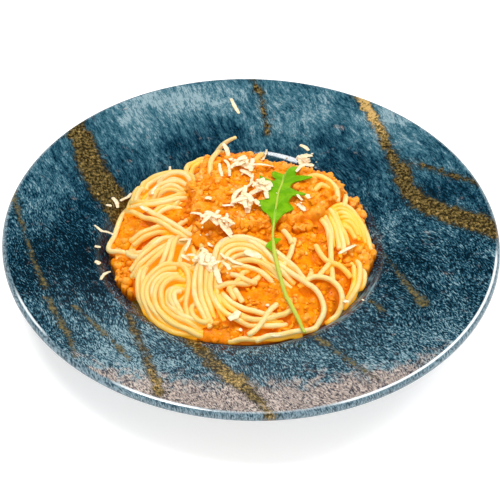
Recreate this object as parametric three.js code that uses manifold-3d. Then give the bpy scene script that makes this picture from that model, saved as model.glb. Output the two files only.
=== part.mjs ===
// Spaghetti bolognese in a wide-rimmed stoneware plate. Millimetres, +Z up, the diner sits at -Y.
// The origin is the centre of the rim's circle, on the surface that the plate's foot stands on.
import * as THREE from 'three';
import { mergeVertices } from 'three/addons/utils/BufferGeometryUtils.js';
import Module from 'manifold-3d';

// ---------------------------------------------------------------- driving dimensions
const RIM_RADIUS = 135;        // outside of the plate's lip
const RIM_TOP = 39;            // highest line of the lip
const LIP = 2.7;               // radius of the rounded lip
const RIM_THICKNESS = 5.2;
const WELL_RADIUS = 78;        // sharp edge between the rim and the well
const WELL_EDGE = 28;          // height of that edge
const WELL_SHIFT = -6;         // the well was thrown a little off the rim's centre
const WELL_POWER = 1.6;        // how the wall of the well curves up from the floor
const WALL_THICKNESS = 5.5;
const FLOOR_RADIUS = 46;
const FLOOR_TOP = 8.5;
const FOOT_RADIUS = 54;        // outside of the foot ring
const FOOT_WIDTH = 6;
const FOOT_HEIGHT = 3;
const PLATE_SIDES = 60;

const NOODLE_RADIUS = 1.4;     // cooked spaghetti, 2.8 mm thick
const NOODLE_SIDES = 6;
const NOODLE_STEP = 8;         // length of one straight facet along a noodle
const NOODLE_PRESS = 0.5;      // how deep a noodle lies in what is under it

const HEAP_CENTRE = [-4, -2];
const HEAP_RADIUS = 73.5;
const HEAP_RISE = 14.5;        // height of the heap's crown above the edge of the well
const CORE_RADIUS = 71.5;
const CORE_SINK = 2.6;         // the core lies this far under the heap's outline

const PILE_CENTRE = [8, 24];   // the sauce ladled on top
const PILE_RADIUS = 42;
const PILE_RISE = 6;
const GAP = 0.35;              // clear space between neighbouring solids

// ---------------------------------------------------------------- small helpers
// Eases from 0 at a to 1 at b, whichever of the two is the larger.
function smooth(a, b, x) {
  const part = THREE.MathUtils.clamp((x - a) / (b - a), 0, 1);
  return part * part * (3 - 2 * part);
}

const along = (x, y) => Math.hypot(x, y);

function seeded(seed) {
  let state = seed;
  return () => {
    state = (state * 1664525 + 1013904223) % 4294967296;
    return state / 4294967296;
  };
}

const wasm = await Module();
wasm.setup();

// Three.js mesh to solid: only the positions matter, and pole triangles without area go.
function toSolid(geometry) {
  const bare = geometry.clone();
  bare.deleteAttribute('normal');
  bare.deleteAttribute('uv');
  const merged = mergeVertices(bare, 1e-4);
  const index = merged.index.array;
  const kept = [];
  for (let i = 0; i < index.length; i += 3) {
    const [a, b, c] = [index[i], index[i + 1], index[i + 2]];
    if (a !== b && b !== c && c !== a) kept.push(a, b, c);
  }
  return new wasm.Manifold(new wasm.Mesh({
    numProp: 3,
    vertProperties: Float32Array.from(merged.attributes.position.array),
    triVerts: Uint32Array.from(kept),
  }));
}

// Solid to three.js mesh: the largest outside shell, so loose scraps and sealed bubbles are dropped.
function toGeometry(solid) {
  const shells = solid.simplify(0.02).decompose();
  shells.sort((a, b) => b.volume() - a.volume());
  const mesh = shells[0].getMesh();
  const geometry = new THREE.BufferGeometry();
  geometry.setAttribute('position', new THREE.BufferAttribute(Float32Array.from(mesh.vertProperties), 3));
  geometry.setIndex(Array.from(mesh.triVerts));
  geometry.computeVertexNormals();
  return geometry;
}

const joined = (solids) => solids.reduce((sum, solid) => sum.add(solid));

// A lathe profile is drawn round three.js's Y axis; this stands it up on +Z.
function turned(profile, sides) {
  const points = profile.map(([r, z]) => new THREE.Vector2(r, z));
  return new THREE.LatheGeometry(points, sides).rotateX(Math.PI / 2);
}

// Moves every vertex of a geometry by a function of its place.
function reshaped(geometry, place) {
  const position = geometry.attributes.position;
  for (let i = 0; i < position.count; i += 1) {
    position.setXYZ(i, ...place(position.getX(i), position.getY(i), position.getZ(i)));
  }
  return geometry;
}

// ---------------------------------------------------------------- plate
// Height of the plate's upper surface at radius r from the centre of the well.
function dishTop(r) {
  if (r <= FLOOR_RADIUS) return FLOOR_TOP;
  if (r <= WELL_RADIUS) {
    const up = (r - FLOOR_RADIUS) / (WELL_RADIUS - FLOOR_RADIUS);
    return FLOOR_TOP + (WELL_EDGE - FLOOR_TOP) * up ** WELL_POWER;
  }
  const out = (r - WELL_RADIUS) / (RIM_RADIUS - LIP - WELL_RADIUS);
  return WELL_EDGE + (RIM_TOP - WELL_EDGE) * Math.min(out, 1);
}

const dishTopAt = (x, y) => dishTop(along(x - WELL_SHIFT, y));

function plateProfile() {
  const lipArc = [100, 65, 30, 0, -45, -90].map((degrees) => {
    const angle = THREE.MathUtils.degToRad(degrees);
    const centre = [RIM_RADIUS - LIP, RIM_TOP - LIP];
    return [centre[0] + LIP * Math.cos(angle), centre[1] + LIP * Math.sin(angle)];
  });
  const upper = [0, FLOOR_RADIUS, 54, 62, 69, 75, WELL_RADIUS, WELL_RADIUS + 2, 104]
    .map((r) => [r, dishTop(r)]);
  const underRim = [110, WELL_RADIUS + 7].map((r) => [r, dishTop(r) - RIM_THICKNESS]);
  const underWell = [70, 60].map((r) => [r + WALL_THICKNESS * 0.6, dishTop(r) - WALL_THICKNESS * 0.8]);
  const foot = [
    [FOOT_RADIUS + 1, FOOT_HEIGHT + 1],
    [FOOT_RADIUS, 0],
    [FOOT_RADIUS - FOOT_WIDTH, 0],
    [FOOT_RADIUS - FOOT_WIDTH - 1, FOOT_HEIGHT],
    [0, FOOT_HEIGHT],
  ];
  return [...upper, ...lipArc, ...underRim, ...underWell, ...foot].reverse();
}

function plateSolid() {
  const lathe = turned(plateProfile(), PLATE_SIDES);
  return toSolid(reshaped(lathe, (x, y, z) => {
    const shift = WELL_SHIFT * (1 - smooth(WELL_RADIUS, RIM_RADIUS, along(x, y)));
    return [x + shift, y, z];
  }));
}

// ---------------------------------------------------------------- shape of the heap
// The heap falls away gently towards the diner and steeply at the back.
function heapTop(x, y) {
  const [dx, dy] = [x - HEAP_CENTRE[0], y - HEAP_CENTRE[1]];
  const rho = along(dx, dy) / HEAP_RADIUS;
  const back = smooth(-0.2, 0.9, dy / (along(dx, dy) || 1));
  return WELL_EDGE + HEAP_RISE * (1 - Math.min(rho, 1.1) ** (2.2 + 3 * back));
}

// Distance from the centre of the well to the core's outline, in the direction theta.
function coreEdge(theta) {
  const [dx, dy] = [HEAP_CENTRE[0] - WELL_SHIFT, HEAP_CENTRE[1]];
  const towards = dx * Math.cos(theta) + dy * Math.sin(theta);
  return towards + Math.sqrt(towards ** 2 - dx ** 2 - dy ** 2 + CORE_RADIUS ** 2);
}

// A closed cap: rings of a lathe spread to an outline, lifted onto a top and a bottom surface.
function capSolid({ centre, edge, top, bottom, topRings, bottomRings, sides }) {
  const profile = [
    ...bottomRings.map((rho) => [rho, 0]),
    ...topRings.map((rho) => [rho, 1]).reverse(),
  ];
  return toSolid(reshaped(turned(profile, sides), (u, v, layer) => {
    const rho = along(u, v);
    const theta = Math.atan2(v, u);
    const x = centre[0] + rho * edge(theta) * Math.cos(theta);
    const y = centre[1] + rho * edge(theta) * Math.sin(theta);
    return [x, y, layer > 0.5 ? top(x, y, rho) : bottom(x, y)];
  }));
}

function coreSolid(grow = 0) {
  return capSolid({
    centre: [WELL_SHIFT, 0],
    edge: (theta) => coreEdge(theta) + grow,
    top: (x, y) => heapTop(x, y) - CORE_SINK + grow,
    bottom: (x, y) => dishTopAt(x, y) + GAP + 0.2 - grow,
    bottomRings: [0, 0.62, 0.76, 0.89, 1],
    topRings: [0, 0.25, 0.5, 0.7, 0.86, 1],
    sides: PLATE_SIDES,
  });
}

// ---------------------------------------------------------------- sauce
// Sauce lies in patches with a lobed outline; mince makes rounded lumps on their upper side.
const SAUCE_PATCHES = {
  bolognese_sauce_pile: {
    centre: PILE_CENTRE, radius: PILE_RADIUS, rise: PILE_RISE, stretch: 0.1, turn: 45, lumps: 34, sides: 44,
    rings: [0, 0.14, 0.28, 0.42, 0.56, 0.7, 0.83, 0.93, 1],
  },
  bolognese_sauce_front: {
    centre: [14, -51], radius: 13, rise: 1.2, stretch: 0.42, turn: 4, lumps: 8, sides: 24,
    rings: [0, 0.35, 0.7, 0.92, 1],
  },
  bolognese_sauce_right: {
    centre: [61, -9], radius: 8, rise: 1.4, stretch: 0.3, turn: 98, lumps: 4, sides: 16,
    rings: [0, 0.5, 0.85, 1],
  },
  bolognese_sauce_left: {
    centre: [-67, -28], radius: 7.5, rise: 1, stretch: 0.4, turn: 112, lumps: 4, sides: 16,
    rings: [0, 0.5, 0.85, 1],
  },
};

function sauceShape(patch, grow = 0) {
  const random = seeded(patch.sides * 31 + patch.lumps);
  const turn = THREE.MathUtils.degToRad(patch.turn);
  const edge = (theta) => grow + patch.radius
    * (1 + patch.stretch * Math.cos(2 * (theta - turn)) + 0.04 * Math.sin(5 * theta) + 0.03 * Math.cos(9 * theta));
  const lumps = Array.from({ length: patch.lumps }, () => {
    const theta = 2 * Math.PI * random();
    const reach = edge(theta) * Math.sqrt(random()) * 0.9;
    const size = 3.5 + 3 * random();
    return [patch.centre[0] + reach * Math.cos(theta), patch.centre[1] + reach * Math.sin(theta), size];
  });
  const top = (x, y, rho) => {
    const lump = lumps.reduce((most, [lx, ly, size]) => (
      Math.max(most, 0.42 * size * (1 - (along(x - lx, y - ly) / size) ** 2))), 0);
    return heapTop(x, y) + grow + patch.rise * smooth(1.12, 0.8, rho) + lump * smooth(1.1, 0.8, rho);
  };
  return { edge, top };
}

function sauceSolid(patch, grow = 0) {
  const { edge, top } = sauceShape(patch, grow);
  return capSolid({
    centre: patch.centre,
    edge,
    top,
    bottom: (x, y) => Math.max(heapTop(x, y) - CORE_SINK - 3, dishTopAt(x, y) + 2 * GAP),
    bottomRings: [0, 0.5, 1],
    topRings: patch.rings,
    sides: patch.sides,
  });
}

// ---------------------------------------------------------------- height field that pieces are laid on
const FIELD_HALF = 92;
const FIELD_CELLS = 2 * FIELD_HALF + 1;

function heightField(height) {
  const cells = new Float32Array(FIELD_CELLS ** 2);
  const at = (i, j) => j * FIELD_CELLS + i;
  for (let j = 0; j < FIELD_CELLS; j += 1) {
    for (let i = 0; i < FIELD_CELLS; i += 1) cells[at(i, j)] = height(i - FIELD_HALF, j - FIELD_HALF);
  }
  const near = (x, y, reach, visit) => {
    for (let j = Math.ceil(y - reach); j <= y + reach; j += 1) {
      for (let i = Math.ceil(x - reach); i <= x + reach; i += 1) {
        const away = along(i - x, j - y);
        if (away <= reach) visit(at(i + FIELD_HALF, j + FIELD_HALF), away);
      }
    }
  };
  return {
    // lowest height of the middle of a ball that rests on the field
    ballOn(x, y, radius) {
      let most = -Infinity;
      near(x, y, radius + 0.6, (cell, away) => {
        most = Math.max(most, cells[cell] + Math.sqrt(Math.max(radius ** 2 - away ** 2, 0)));
      });
      return most;
    },
    highest(x, y, reach) {
      let most = -Infinity;
      near(x, y, reach, (cell) => { most = Math.max(most, cells[cell]); });
      return most;
    },
    addBall(x, y, z, radius) {
      near(x, y, radius, (cell, away) => {
        cells[cell] = Math.max(cells[cell], z + Math.sqrt(radius ** 2 - away ** 2));
      });
    },
    addShape(shape, centre) {
      near(...centre, 60, (cell) => {
        const x = (cell % FIELD_CELLS) - FIELD_HALF;
        const y = Math.floor(cell / FIELD_CELLS) - FIELD_HALF;
        const [dx, dy] = [x - centre[0], y - centre[1]];
        const rho = along(dx, dy) / shape.edge(Math.atan2(dy, dx));
        if (rho <= 1) cells[cell] = Math.max(cells[cell], shape.top(x, y, rho));
      });
    },
  };
}

// The lowest curve over the given heights that bends no more than a soft noodle does.
function sagged(heights, spacing, bend) {
  return heights.map((_, i) => (
    Math.max(...heights.map((height, j) => height - bend * ((i - j) * spacing) ** 2))));
}

// ---------------------------------------------------------------- noodles
// Each lock is a group of noodles that lie side by side: how many, how far apart, and their way in plan.
const LOCKS = [
  { name: 'left edge loop', count: 1, way: [[-69, 20], [-73, 11], [-76, 2], [-79, -6], [-77, -13], [-65, -15]] },
  { name: 'left small loop', count: 1, way: [[-65, -10], [-64, -17], [-58, -21], [-51, -19], [-45, -12]] },
  { name: 'left fan, top', count: 1, way: [[-43, -1], [-52, -3], [-60, -6], [-67, -10]] },
  { name: 'left fan, middle', count: 2, pitch: 3.2, way: [[-37, -9], [-44, -15], [-51, -21], [-58, -27], [-63, -32]] },
  { name: 'left fan, steep', count: 1, way: [[-40, -10], [-43, -19], [-46, -28], [-50, -35]] },
  { name: 'left pair', count: 2, pitch: 3, way: [[-70, 23], [-64, 15], [-57, 8], [-48, 0], [-40, -5], [-33, -9]] },
  { name: 'left ledge', count: 1, way: [[-55, 7], [-49, 12], [-42, 13], [-34, 12]] },
  { name: 'nest, foot', count: 1, way: [[-68, 28], [-62, 23], [-54, 20], [-45, 20], [-38, 22], [-33, 28]] },
  { name: 'nest, outer', count: 2, pitch: 4.5, way: [[-37, 26], [-35, 36], [-42, 47], [-52, 51], [-60, 44], [-64, 33]] },
  { name: 'nest, inner', count: 1, way: [[-43, 26], [-44, 36], [-50, 41], [-55, 34], [-58, 27]] },
  { name: 'swirl, edge', count: 1, way: [[-56, -28], [-58, -38], [-57, -46], [-52, -54]] },
  { name: 'swirl, outer', count: 2, pitch: 3.6,
    way: [[-38, -32], [-47, -36], [-53, -43], [-52, -52], [-46, -60], [-37, -67], [-28, -70], [-20, -71]] },
  { name: 'swirl, inner', count: 2, pitch: 3.6,
    way: [[-34, -42], [-41, -43], [-45, -49], [-43, -57], [-37, -63], [-29, -67]] },
  { name: 'swirl, upright', count: 1, way: [[-36, -29], [-33, -36], [-32, -45], [-33, -55], [-31, -63], [-26, -68]] },
  { name: 'hook', count: 1, way: [[-24, -54], [-29, -58], [-29, -63], [-25, -68], [-20, -67]] },
  { name: 'middle fall', count: 3, pitch: 3.6, way: [[-22, -27], [-23, -36], [-23, -46], [-21, -56], [-16, -66]] },
  { name: 'front sweep', count: 2, pitch: 3.2,
    way: [[-17, -50], [-13, -58], [-6, -63], [3, -66], [12, -66], [20, -61]] },
  { name: 'arc', count: 2, pitch: 4,
    way: [[-17, -30], [-14, -24], [-6, -21], [3, -23], [11, -28], [19, -35], [27, -38]] },
  { name: 'long arc', count: 1,
    way: [[-20, -30], [-17, -21], [-8, -18], [4, -18], [13, -25], [23, -34], [33, -41], [38, -50], [37, -58],
      [30, -66], [18, -71], [4, -74]] },
  { name: 'arc, low', count: 1, way: [[-13, -33], [-5, -32], [3, -34], [12, -37]] },
  { name: 'short U', count: 1, way: [[-1, -36], [-6, -41], [-12, -46], [-18, -47]] },
  { name: 'front crossing', count: 1, way: [[11, -62], [8, -67], [4, -72]] },
  { name: 'right loop', count: 1, way: [[27, -40], [33, -37], [40, -36], [47, -40], [48, -48], [43, -55]] },
  { name: 'short, right of stem', count: 1, way: [[24, -15], [23, -21], [21, -27], [19, -32]] },
  { name: 'right upright', count: 1, way: [[45, -13], [44, -21], [44, -29], [43, -35]] },
  { name: 'right crossing', count: 1, way: [[34, -14], [39, -20], [46, -24], [54, -27]] },
  { name: 'right edge', count: 1, way: [[54, -22], [56, -30], [53, -38], [48, -45]] },
  { name: 'right fall', count: 2, pitch: 3.6, way: [[46, 10], [46, 3], [48, -4], [50, -11]] },
  { name: 'right shoulder', count: 2, pitch: 4.6, way: [[50, 17], [56, 15], [60, 9], [61, 3]] },
  { name: 'back right', count: 2, pitch: 5, way: [[56, 20], [56, 30], [53, 39], [48, 47]] },
  { name: 'back edge', count: 2, pitch: 4.5, way: [[36, 57], [24, 63], [10, 66], [-5, 67], [-18, 63]] },
  { name: 'back left', count: 2, pitch: 4, way: [[-31, 34], [-34, 43], [-35, 51], [-30, 57]] },
];
const NOODLE_TIP = [[-23, 57, 34], [-22.5, 56, 42], [-20, 55, 49], [-16, 54, 54], [-10, 53, 58]];

// The way of one noodle in a lock, moved sideways from the lock's middle line.
function wayInPlan(lock, number) {
  const line = new THREE.CatmullRomCurve3(lock.way.map(([x, y]) => new THREE.Vector3(x, y, 0)));
  const steps = Math.ceil(line.getLength() / 2);
  const aside = (number - (lock.count - 1) / 2) * (lock.pitch ?? 0);
  return Array.from({ length: steps + 1 }, (_, i) => {
    const at = line.getPointAt(i / steps);
    const ahead = line.getTangentAt(i / steps);
    return [at.x - ahead.y * aside, at.y + ahead.x * aside];
  });
}

function noodleAlong(points) {
  const path = new THREE.CatmullRomCurve3(points.map((point) => new THREE.Vector3(...point)));
  const section = new THREE.Shape(Array.from({ length: NOODLE_SIDES }, (_, i) => {
    const angle = (2 * Math.PI * i) / NOODLE_SIDES;
    return new THREE.Vector2(NOODLE_RADIUS * Math.cos(angle), NOODLE_RADIUS * Math.sin(angle));
  }));
  const steps = Math.max(3, Math.round(path.getLength() / NOODLE_STEP));
  return toSolid(new THREE.ExtrudeGeometry(section, { steps, extrudePath: path, bevelEnabled: false }));
}

// Lays a noodle on the heap and on the plate, and leaves its own back in the heap's field.
function laidNoodle(plan, heap, dish) {
  const rest = plan.map(([x, y]) => Math.max(
    heap.ballOn(x, y, NOODLE_RADIUS) - NOODLE_PRESS,
    dish.ballOn(x, y, NOODLE_RADIUS) + GAP,
  ));
  const heights = sagged(rest, 2, 0.025);
  plan.forEach(([x, y], i) => heap.addBall(x, y, heights[i], NOODLE_RADIUS));
  const knots = plan.map(([x, y], i) => [x, y, heights[i]]).filter((_, i) => i % 2 === 0 || i === plan.length - 1);
  return noodleAlong(knots);
}

// ---------------------------------------------------------------- grated cheese
// Shreds are flat strips: where they lie, their direction in degrees and their length.
const SHREDS = {
  spaghetti: [[-36, -15, 80, 11], [-34, -24, 60, 7], [-17, -36, 112, 12], [-9, -63, 62, 8], [51, -12, 52, 13],
    [-52, 38, 70, 11], [-24, -30, 20, 8]],
  bolognese_sauce_pile: [[-22, -6, 115, 11], [-13, -8, 125, 11], [-24, 13, 100, 6], [-5, 12, 40, 14], [-2, 30, 75, 16],
    [-3, 40, 120, 12], [4, 18, 25, 8], [28, 9, 60, 7]],
  plate: [[-12.5, 112, 115, 13], [29, 80, 20, 4.5], [27, 74, 150, 11], [-83, 6, 160, 12], [-84, -11, 70, 4],
    [-83, -20, 100, 4.5], [-78, -32, 40, 7], [-77, 30, 100, 8]],
};
const SHRED_WIDTH = 2;
const SHRED_THICKNESS = 0.9;

function shredSolid([x, y, degrees, length], under) {
  const angle = THREE.MathUtils.degToRad(degrees);
  const points = [-0.5, 0, 0.5].map((part) => {
    const [px, py] = [x + part * length * Math.cos(angle), y + part * length * Math.sin(angle)];
    return [px, py, under(px, py)];
  });
  const middle = Math.max(points[1][2], (points[0][2] + points[2][2]) / 2);
  points[1][2] = middle;
  const path = new THREE.CatmullRomCurve3(points.map((point) => new THREE.Vector3(...point)));
  const [w, t] = [SHRED_WIDTH / 2, SHRED_THICKNESS / 2];
  const strip = new THREE.BoxGeometry(1, 2 * w, 2 * t, 3, 1, 1);
  return toSolid(reshaped(strip, (u, v, lift) => {
    const at = path.getPoint(u + 0.5);
    return [at.x - v * Math.sin(angle), at.y + v * Math.cos(angle), at.z + lift];
  }));
}

// ---------------------------------------------------------------- rocket leaf
const LEAF_RIB = [[30, -69], [25, -62], [20.5, -53], [17, -42], [14, -30], [12, -21], [11, -12], [11.5, -2],
  [12.5, 6], [14, 15], [15.5, 24], [18, 32], [22.5, 39]];
const LEAF_STATIONS = 46;
const LEAF_THICKNESS = 0.7;
const STEM_HALF_WIDTH = 1.1;
// Lobes: distance up the rib as a part of its length, reach from the rib, half-width, all in mm but the first.
const LEAF_LOBES = {
  left: [[0.425, 3.6, 4], [0.66, 10, 7], [0.8, 8, 7], [0.93, 6, 5]],
  right: [[0.465, 3.4, 3.5], [0.69, 6.5, 6], [0.79, 11, 6.5], [0.92, 12, 3.6]],
};
const LEAF_LEAN = { left: 0.35, right: -0.05 };
const LEAF_CUP = 0.1;          // how much the lobes lift away from the rib

function leafSolid(heap) {
  const rib = new THREE.CatmullRomCurve3(LEAF_RIB.map(([x, y]) => new THREE.Vector3(x, y, 0)));
  const length = rib.getLength();
  const blade = (s) => 4.2 * smooth(0.57, 0.68, s) * smooth(1.02, 0.9, s);
  const halfWidth = (s, side) => LEAF_LOBES[side].reduce((width, [at, reach, half]) => (
    width + reach * Math.max(0, 1 - (((s - at) * length) / half) ** 2) ** 1.5), STEM_HALF_WIDTH + blade(s));
  const planAt = (s, across) => {
    const side = across < 0 ? 'left' : 'right';
    const out = across * halfWidth(s, side);
    const base = rib.getPointAt(s);
    const ahead = rib.getTangentAt(s);
    const lean = LEAF_LEAN[side] * Math.max(Math.abs(out) - STEM_HALF_WIDTH, 0);
    return { x: base.x + ahead.y * out + ahead.x * lean, y: base.y - ahead.x * out + ahead.y * lean, out };
  };
  const stations = Array.from({ length: LEAF_STATIONS + 1 }, (_, i) => i / LEAF_STATIONS);
  const columns = [-1, -0.5, 0, 0.5, 1];
  const needed = stations.map((s) => Math.max(...columns.map((across) => {
    const { x, y, out } = planAt(s, across);
    return heap.highest(x, y, 1.6) - LEAF_CUP * Math.abs(out);
  })));
  const ribHeights = sagged(needed, length / LEAF_STATIONS, 0.012);
  const middle = (s, across) => {
    const { x, y, out } = planAt(s, across);
    const wave = 0.35 * Math.sin(s * 40 + across * 2) * smooth(2, 6, Math.abs(out));
    const height = ribHeights[Math.round(s * LEAF_STATIONS)];
    return [x, y, height + GAP + 1.1 + LEAF_CUP * Math.abs(out) + wave];
  };
  const stemRound = (across) => Math.sqrt(Math.max(1 - across ** 2, 0));
  const face = (up) => reshaped(new THREE.PlaneGeometry(2, 1, columns.length - 1, LEAF_STATIONS), (u, v) => {
    const [x, y, z] = middle(v + 0.5, u);
    return [x, y, z + up * (LEAF_THICKNESS / 2 + 0.5 * stemRound(u))];
  });
  return toSolid(sheetBetween(face(1), face(-1), columns.length, LEAF_STATIONS + 1));
}

// Closes two alike grids into one thin solid: upper face, turned lower face and a strip round the border.
function sheetBetween(upper, lower, columns, rows) {
  const count = columns * rows;
  const positions = [...upper.attributes.position.array, ...lower.attributes.position.array];
  const faces = Array.from(upper.index.array);
  for (let i = 0; i < upper.index.count; i += 3) {
    const [a, b, c] = [0, 1, 2].map((k) => upper.index.getX(i + k) + count);
    faces.push(a, c, b);
  }
  const border = [];
  for (let i = 0; i < columns - 1; i += 1) border.push(i);
  for (let j = 0; j < rows - 1; j += 1) border.push(j * columns + columns - 1);
  for (let i = columns - 1; i > 0; i -= 1) border.push((rows - 1) * columns + i);
  for (let j = rows - 1; j > 0; j -= 1) border.push(j * columns);
  border.forEach((a, i) => {
    const b = border[(i + 1) % border.length];
    faces.push(a, b, a + count, b, b + count, a + count);
  });
  const sheet = new THREE.BufferGeometry();
  sheet.setAttribute('position', new THREE.BufferAttribute(Float32Array.from(positions), 3));
  sheet.setIndex(faces);
  return sheet;
}

// ---------------------------------------------------------------- the whole dish
const COLOURS = {
  plate: { color: 0x1b4256, roughness: 0.2 },
  spaghetti: { color: 0xffd47a, roughness: 0.4 },
  sauce: { color: 0xe8781e, roughness: 0.3 },
  leaf: { color: 0x7fb414, roughness: 0.5 },
};

function namedMesh(name, solid, look) {
  const mesh = new THREE.Mesh(toGeometry(solid), new THREE.MeshStandardMaterial({ metalness: 0, ...look }));
  mesh.name = name;
  return mesh;
}

function build() {
  const dishField = heightField(dishTopAt);
  const inCore = (x, y) => along(x - HEAP_CENTRE[0], y - HEAP_CENTRE[1]) < CORE_RADIUS;
  const heapField = heightField((x, y) => (inCore(x, y) ? heapTop(x, y) - CORE_SINK : -50));

  const noodles = [];
  LOCKS.forEach((lock) => {
    for (let number = 0; number < lock.count; number += 1) {
      noodles.push(laidNoodle(wayInPlan(lock, number), heapField, dishField));
    }
  });
  noodles.push(noodleAlong(NOODLE_TIP));
  NOODLE_TIP.forEach((point) => heapField.addBall(...point, NOODLE_RADIUS));

  const patches = Object.entries(SAUCE_PATCHES);
  patches.forEach(([, patch]) => heapField.addShape(sauceShape(patch), patch.centre));
  const onHeap = (x, y) => heapField.highest(x, y, 0.8) + 0.15;
  const onPlate = (x, y) => dishTopAt(x, y) + 0.3;
  const shreds = (name, under) => SHREDS[name].map((shred) => shredSolid(shred, under));

  const core = coreSolid();
  const sauceRoom = joined(patches.map(([, patch]) => sauceSolid(patch, GAP)));
  const topShreds = shreds('spaghetti', onHeap);
  const spaghetti = joined([...noodles, ...topShreds]).subtract(sauceRoom).add(core);
  const coreRoom = coreSolid(GAP);

  const group = new THREE.Group();
  const plate = joined([plateSolid(), ...shreds('plate', onPlate)]);
  group.add(namedMesh('plate', plate, COLOURS.plate));
  group.add(namedMesh('spaghetti', spaghetti, COLOURS.spaghetti));
  patches.forEach(([name, patch]) => {
    const bare = sauceSolid(patch).subtract(coreRoom);
    const dressed = SHREDS[name] ? joined([bare, ...shreds(name, onHeap)]) : bare;
    group.add(namedMesh(name, dressed, COLOURS.sauce));
  });
  group.add(namedMesh('rocket_leaf', leafSolid(heapField), COLOURS.leaf));
  return group;
}

const spaghettiBolognese = build();
export default spaghettiBolognese;
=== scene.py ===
import math

import bpy
import numpy as np
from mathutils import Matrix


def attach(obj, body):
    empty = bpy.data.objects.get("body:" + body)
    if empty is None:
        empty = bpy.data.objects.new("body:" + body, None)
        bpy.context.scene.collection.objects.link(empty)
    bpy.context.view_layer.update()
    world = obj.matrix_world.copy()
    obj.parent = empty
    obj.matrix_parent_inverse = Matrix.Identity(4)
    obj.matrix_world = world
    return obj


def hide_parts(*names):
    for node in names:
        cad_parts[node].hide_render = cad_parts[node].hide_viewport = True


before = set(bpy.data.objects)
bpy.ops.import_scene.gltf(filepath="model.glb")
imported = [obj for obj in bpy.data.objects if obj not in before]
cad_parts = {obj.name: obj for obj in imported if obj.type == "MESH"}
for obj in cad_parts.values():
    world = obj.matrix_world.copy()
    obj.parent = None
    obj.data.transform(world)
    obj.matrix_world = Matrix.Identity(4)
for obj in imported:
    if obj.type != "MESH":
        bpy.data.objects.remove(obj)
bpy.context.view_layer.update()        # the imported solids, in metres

mm = 0.001               # every size below is in millimetres until a mesh is made
print("frame:", ", ".join(sorted(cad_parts)))

picture = {
    "side": 500.0,            # pixels
    "axis": (251.47, 234.5),  # pixel that the lens axis meets
    "focal": 1648.75,         # focal length in pixels
    "elevation": 42.65,       # degrees above the table
    "roll": 1.59,             # degrees
    "distance": 900.0,
    "target": (0.0, 0.0, 34.0),
    "sensor": 36.0,
    "searched": (720.0, 1080.0, 2400),     # of a line of sight: from, to and in how many steps
}


def lensFrame():
    # right, up and back of the camera, turned about its axis by the roll, and the lens's place
    rise, roll = math.radians(picture["elevation"]), math.radians(picture["roll"])
    back = np.array([0.0, -math.cos(rise), math.sin(rise)])
    level = np.array([1.0, 0.0, 0.0])
    steep = np.cross(back, level)
    right = math.cos(roll) * level + math.sin(roll) * steep
    up = math.cos(roll) * steep - math.sin(roll) * level
    return right, up, back, np.array(picture["target"]) + picture["distance"] * back


def makeCamera():
    right, up, back, place = lensFrame()
    lens = bpy.data.cameras.new("camera")
    lens.sensor_width = picture["sensor"]
    lens.lens = picture["focal"] / picture["side"] * picture["sensor"]
    lens.shift_x = 0.5 - picture["axis"][0] / picture["side"]
    lens.shift_y = picture["axis"][1] / picture["side"] - 0.5
    lens.clip_start, lens.clip_end = 0.01, 20.0
    camera = bpy.data.objects.new("camera", lens)
    pose = np.eye(4)
    pose[:3, :3] = np.stack([right, up, back], axis=1)
    pose[:3, 3] = place * mm
    camera.matrix_world = pose.T.tolist()
    bpy.context.scene.collection.objects.link(camera)
    bpy.context.scene.camera = camera


makeCamera()
print("camera set")


def smooth(a, b, x):
    # eases from 0 at a to 1 at b, whichever of the two is the larger
    part = np.clip((np.asarray(x, float) - a) / (b - a), 0.0, 1.0)
    return part * part * (3.0 - 2.0 * part)


def toUnit(vectors):
    return vectors / np.linalg.norm(vectors, axis=1)[:, None]


def lengthAlong(line):
    return np.r_[0.0, np.cumsum(np.linalg.norm(np.diff(line, axis=0), axis=1))]


def curveThrough(knots, spacing):
    # Catmull-Rom curve through the knots, then points at even distances along it
    knots, perSpan = np.asarray(knots, float), 12
    ends = np.vstack([2 * knots[0] - knots[1], knots, 2 * knots[-1] - knots[-2]])
    a, b, c, d = (ends[k:k + len(knots) - 1][:, None] for k in range(4))
    t = np.linspace(0.0, 1.0, perSpan, endpoint=False)[None, :, None]
    fine = 0.5 * (2 * b + (c - a) * t + (2 * a - 5 * b + 4 * c - d) * t**2 + (3 * b - a - 3 * c + d) * t**3)
    fine = np.vstack([fine.reshape(-1, knots.shape[1]), knots[-1:]])
    gone = lengthAlong(fine)
    at = np.linspace(0.0, gone[-1], max(2, int(round(gone[-1] / spacing))) + 1)
    return np.stack([np.interp(at, gone, fine[:, k]) for k in range(knots.shape[1])], axis=1)


def ringFaces(rings, sides):
    # quads between rings of points laid one after the other, and a fan to one more point at either end;
    # they face outward where the rings run counterclockwise as seen along the way from first to last
    j, i = (k.ravel() for k in np.meshgrid(np.arange(rings - 1), np.arange(sides), indexing="ij"))
    beside, here, ahead = (i + 1) % sides, j * sides, (j + 1) * sides
    walls = np.stack([here + i, ahead + i, ahead + beside, here + beside], axis=1)
    k = np.arange(sides)
    after, last, end = (k + 1) % sides, (rings - 1) * sides, rings * sides
    near = np.stack([k, after, np.full(sides, end)], axis=1)
    far = np.stack([last + after, last + k, np.full(sides, end + 1)], axis=1)
    return [walls, near, far]


def linear(code):
    # sRGB hex to the linear values that sockets take
    parts = [int(code[i:i + 2], 16) / 255.0 for i in (1, 3, 5)]
    return [*(p / 12.92 if p <= 0.04045 else ((p + 0.055) / 1.055) ** 2.4 for p in parts), 1.0]


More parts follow.
